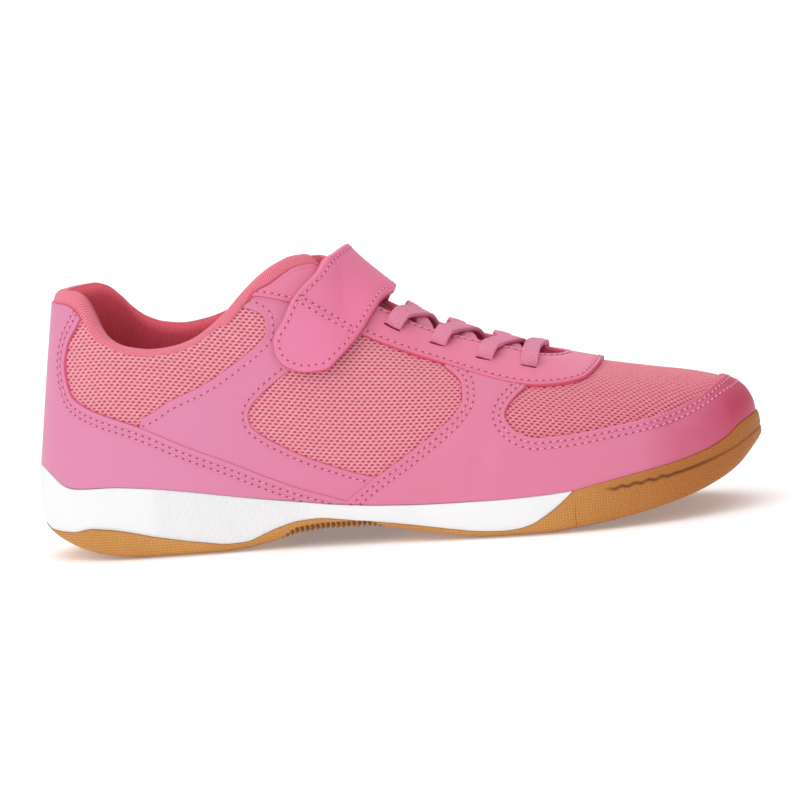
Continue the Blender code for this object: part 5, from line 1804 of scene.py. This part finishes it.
def toothed(points, outward):
    """The comb of small teeth under the arch."""
    x, z = points[..., 0], points[..., 2]
    (low, high), (grow, shrink) = TEETH, TEETH_FADES
    size = ease((x - low) / grow) * ease((high - x) / shrink)
    above = z - bottom_line(x)
    held = ease((TOOTH_HEIGHT * size - above) / TOOTH_FADE)
    comb = held * (0.5 - 0.5 * np.cos(2.0 * math.pi * x / TOOTH_PITCH)) ** TOOTH_FULLNESS
    points[..., 2] += comb * size * TOOTH_RISE
    if outward is not None:
        points[..., :2] -= (comb * TOOTH_DEPTH)[..., None] * outward
    return comb


def bed_lift(x):
    """How far the hidden faces between the two layers rise at the heel, to stay clear of the tread."""
    return BED_LIFT * ease((BED_FRONT - x) / BED_FADE)


def groove_cut(x, z, t):
    """How deep points of the cup's side lie in the wavy cut round the toe, from 0 to 1."""
    swing = GROOVE_WAVE * np.sin(2.0 * math.pi * x / GROOVE_WAVE_PITCH)
    line = toe_groove(x) + swing * ease((GROOVE_WAVE_END - x) / GROOVE_WAVE_FADE)
    cut = np.exp(-(((z - line) / GROOVE_HALF) ** 2)) * (t < GROOVE_TOP_ROW)
    start, length = GROOVE_FADE
    faded = 1.0 - GROOVE_FADED * ease((x - start) / length)
    return cut * ease((x - GROOVE_START) / GROOVE_RUN_IN) * faded


def gum_side(side, stations):
    """One side of the outsole, a little proud of the foam, and the painted shade of each point: how far it
    lies in a cut or between teeth, or how near the seam.
    """
    front = outline(side, stations)[0][:, 0] > CUP_BACK
    top = np.where(front, FOOTBED_ROW, row_at_split(side, stations, EDGE_ROW, FEATHER_ROW, False))
    share = np.linspace(0.0, 1.0, GUM_ROWS)[:, None]
    shares, places = np.array(CUP_SPREAD).T
    t = np.where(front, np.interp(share, shares, places / FOOTBED_ROW), share) * top
    points, outward = sole_side(side, stations, t)
    below_top = np.where(front, 1.0, (points[-1, :, 2] - points[..., 2]) / PROUD_FADE)
    proud = GUM_PROUD * ease(below_top) * ease((t - PROUD_START) / PROUD_RUN_IN) * ease(FEATHER_ROW - t)
    cut = groove_cut(points[..., 0], points[..., 2], t)
    points[..., :2] += (proud - GROOVE_CUT * cut)[..., None] * outward
    comb = toothed(points, outward)
    near_seam = 1.0 - (points[-1, :, 2] - points[..., 2]) / SEAM_HEIGHT
    seam = np.where(front, 0.0, SEAM_SHADE * ease(near_seam))
    return points, np.clip(np.maximum(np.maximum(cut, TOOTH_SHADE * comb), seam), 0.0, 1.0)


def gum_tread(outer, inner):
    """The tread between two edges, with teeth and flex grooves, and the painted shade of each point: how
    far it lies in a cut.
    """
    across = np.linspace(0.0, 1.0, TREAD_ROWS + 2)[1:-1, None, None]
    tread = outer + (inner - outer) * across
    comb = toothed(tread, None)
    groove = np.zeros(tread.shape[:2])
    for x, half, depth in FLEX_GROOVES:
        beside = ease((FLEX_HALF - np.abs(tread[..., 0] - x)) / FLEX_FLANK)
        groove = np.maximum(groove, beside * ease((half - np.abs(tread[..., 1])) / FLEX_END) * depth)
    tread[..., 2] += groove
    return tread, np.maximum(np.clip(groove, 0.0, FLEX_SHADE), TREAD_TOOTH_SHADE * comb)


def outsole():
    """Gum outsole: both sides, the tread and a hidden face under the foam, in closed rings."""
    stations = outsole_stations()
    (outer, outer_cut), (inner, inner_cut) = (gum_side(side, stations) for side in SIDES)
    tread, tread_cut = gum_tread(outer[0], inner[0])
    top = (outer[-1:] + inner[-1:]) / 2.0
    top[..., 2] += bed_lift(top[..., 0])
    loops = np.concatenate((outer[::-1], tread, inner, top))
    cut = np.concatenate((outer_cut[::-1], tread_cut, inner_cut, inner_cut[-1:])).ravel()
    run = np.broadcast_to(run_length(outline(OUTER, stations)[0]), loops.shape[:2])
    on_tread = np.zeros((len(loops), 1), bool)
    on_tread[GUM_ROWS:GUM_ROWS + TREAD_ROWS] = True
    u = np.where(on_tread, loops[..., 0], run)
    v = np.where(on_tread, loops[..., 1], loops[..., 2])
    # The cut attribute is painted shade in the grooves, between the teeth and along the seam under the
    # foam.
    floats = {"cut": CUT_SHADE * cut, "waffle": np.clip(1.0 - cut * WAFFLE_FADE, 0.0, 1.0)}
    faces = grid_faces(len(loops), len(stations), True)
    weld(add_piece("outsole_gum", loops.reshape(-1, 3), faces, GUM, "outsole", "gum_rubber", floats,
                   np.stack((u, v), axis=-1).reshape(-1, 2)))


# The ribbed part of the foam's side: from and to an x and a row, and how it fades there.
RIBBED, RIB_FADE = (36.0, 92.0), 8.0
RIB_ROWS, RIB_ROW_FADES = (2.0, 5.2), (0.5, 0.8)
# Soft folds of the foam at the back of the heel: height, width, depth.
HEEL_FOLDS = ((15.0, 1.5, 0.35), (19.5, 1.4, 0.3), (24.0, 1.5, 0.25))
FOLD_REACH, FOLD_TOP_ROW, LOW_DARKENING_HEIGHT = 7.0, 5.5, 1.2


def midsole():
    """White foam midsole: a raised tab with soft folds at the heel and fine ribs along the waist."""
    count, rows = 420, 44
    loops, uv, ribbed, low = [], [], [], []
    for side in SIDES:
        stations = np.linspace(0.0, float(station_at(side, FOAM_FRONT)), count)
        first = row_at_split(side, stations, EDGE_ROW, FEATHER_ROW, False)
        last = row_at_split(side, stations, FEATHER_ROW, FOOTBED_ROW, True)
        t = first[None, :] + (last - first)[None, :] * np.linspace(0.0, 1.0, rows)[:, None]
        points, outward = sole_side(side, stations, t)
        x, z = points[..., 0], points[..., 2]
        fold = sum(depth * np.exp(-(((z - height) / width) ** 2)) for height, width, depth in HEEL_FOLDS)
        fold = fold * np.exp(-((x / FOLD_REACH) ** 2)) * (t < FOLD_TOP_ROW)
        points[..., :2] -= fold[..., None] * outward
        run = np.broadcast_to(run_length(outline(side, stations)[0])[None, :], x.shape)
        at_waist = ease((x - RIBBED[0]) / RIB_FADE) * ease((RIBBED[1] - x) / RIB_FADE)
        above, under = (t - RIB_ROWS[0]) / RIB_ROW_FADES[0], (RIB_ROWS[1] - t) / RIB_ROW_FADES[1]
        held = at_waist * ease(above) * ease(under)
        order = slice(None) if side == OUTER else slice(None, None, -1)
        loops.append(points[order])
        uv.append(np.stack((run, z), axis=-1)[order])
        ribbed.append(held[order])
        # How near each point is to the foam's lower edge, for darkening it there.
        low.append(np.exp(-(z - points[0, :, 2]) / LOW_DARKENING_HEIGHT)[order])
    joined = [np.concatenate(part) for part in (loops, uv, ribbed, low)]
    loops, uv, ribbed, low = [np.concatenate((part, (part[:1] + part[-1:]) / 2.0)) for part in joined]
    loops[-1, :, 2] += bed_lift(loops[-1, :, 0])
    floats = {"ribbed": ribbed.ravel(), "low": low.ravel()}
    faces = grid_faces(len(loops), count, True)
    weld(add_piece("midsole_foam", loops.reshape(-1, 3), faces, FOAM, "midsole", "white_foam", floats,
                   uv.reshape(-1, 2)))


outsole()
midsole()

# Floor, light and camera

CAMERA_AZIMUTH, CAMERA_ELEVATION, CAMERA_ROLL = map(math.radians, (8.0, 6.5, 5.3))
CAMERA_DISTANCE = 1600.0
PICTURE_SIZE, PICTURE_MM_PER_PIXEL, SENSOR = 800.0, 0.309, 36.0
AIM, AIM_RIGHT, AIM_UP = np.array((112.5, 0.0, 45.0)), 3.12, -5.08


def camera():
    """The photograph's view: nearly square on to the outer side, a little from the toe, rolled toe up."""
    az, el, roll = CAMERA_AZIMUTH, CAMERA_ELEVATION, CAMERA_ROLL
    back = np.array((math.sin(az) * math.cos(el), -math.cos(az) * math.cos(el), math.sin(el)))
    level = np.array((math.cos(az), math.sin(az), 0.0))
    rise = np.cross(back, level)
    right = level * math.cos(roll) - rise * math.sin(roll)
    up = rise * math.cos(roll) + level * math.sin(roll)
    place = (AIM + right * AIM_RIGHT + up * AIM_UP + back * CAMERA_DISTANCE - MIDDLE) * MM
    data = bpy.data.cameras.new("camera")
    data.sensor_width = SENSOR
    data.lens = SENSOR * CAMERA_DISTANCE / (PICTURE_SIZE * PICTURE_MM_PER_PIXEL)
    data.clip_start, data.clip_end = 0.05, 50.0
    thing = bpy.data.objects.new("camera", data)
    axes = np.column_stack((right, up, back, place))
    thing.matrix_world = Matrix([*axes.tolist(), (0.0, 0.0, 0.0, 1.0)])
    bpy.context.scene.collection.objects.link(thing)
    bpy.context.scene.camera = thing


FLOOR_HALF, FLOOR_LEVEL = 30.0, -0.0001


def floor():
    """A wide pale floor."""
    surface, tree, shader = surface_of("pale_floor", Roughness=0.9, Specular_IOR_Level=0.1,
                                       Emission_Strength=0.2, Emission_Color=(1.0, 1.0, 1.0, 1.0))
    cloud = ramp(tree, noise(tree, 6.0, 2.0), 0.3, 0.7)
    tone = mixed(tree, cloud, srgb(248, 248, 248), srgb(250, 250, 250))
    tree.links.new(tone, shader.inputs["Base Color"])
    mesh = bpy.data.meshes.new("floor")
    square = ((-1, -1), (1, -1), (1, 1), (-1, 1))
    corners = [(x * FLOOR_HALF, y * FLOOR_HALF, FLOOR_LEVEL) for x, y in square]
    mesh.from_pydata(corners, [], [(0, 1, 2, 3)])
    mesh.materials.append(surface)
    thing = bpy.data.objects.new("floor", mesh)
    bpy.context.scene.collection.objects.link(thing)


# Soft lights: name, place, what they point at, size, power.
LIGHTS = (
    ("key", (-0.9, -1.3, 1.0), (-0.02, 0.0, 0.04), 1.1, 5.8),
    ("front", (0.6, -1.5, 0.6), (0.05, 0.0, 0.03), 1.2, 2.4),
    ("back", (-0.3, 1.2, 0.9), (0.0, 0.0, 0.04), 0.9, 3.0))
OVERHEAD_STRENGTH, OVERHEAD_SPREAD = 1.15, math.radians(80.0)
# Studio surround: brightness towards the heel side, and towards the toe side.
SURROUND = (0.64, 0.28)


def lights():
    """Three soft lights round the shoe and a wide one overhead."""
    for name, place, target, size, power in LIGHTS:
        data = bpy.data.lights.new(name, "AREA")
        data.size = size
        data.energy = power
        thing = bpy.data.objects.new(name, data)
        thing.location = place
        thing.rotation_mode = "QUATERNION"
        thing.rotation_quaternion = (Vector(target) - Vector(place)).to_track_quat("-Z", "Y")
        bpy.context.scene.collection.objects.link(thing)
    overhead = bpy.data.lights.new("overhead", "SUN")
    overhead.energy, overhead.angle = OVERHEAD_STRENGTH, OVERHEAD_SPREAD
    bpy.context.scene.collection.objects.link(bpy.data.objects.new("overhead", overhead))


def surround():
    """A white room that dims towards the toe side."""
    world = bpy.data.worlds.new("studio")
    world.use_nodes = True
    tree = world.node_tree
    split = tree.nodes.new("ShaderNodeSeparateXYZ")
    tree.links.new(tree.nodes.new("ShaderNodeTexCoord").outputs["Generated"], split.inputs[0])
    background = tree.nodes["Background"]
    background.inputs["Color"].default_value = (1.0, 1.0, 1.0, 1.0)
    tree.links.new(ramp(tree, split.outputs[0], -0.1, 0.9, *SURROUND), background.inputs["Strength"])
    bpy.context.scene.world = world
    bpy.context.scene.view_settings.view_transform = "Standard"


camera()
floor()
lights()
surround()
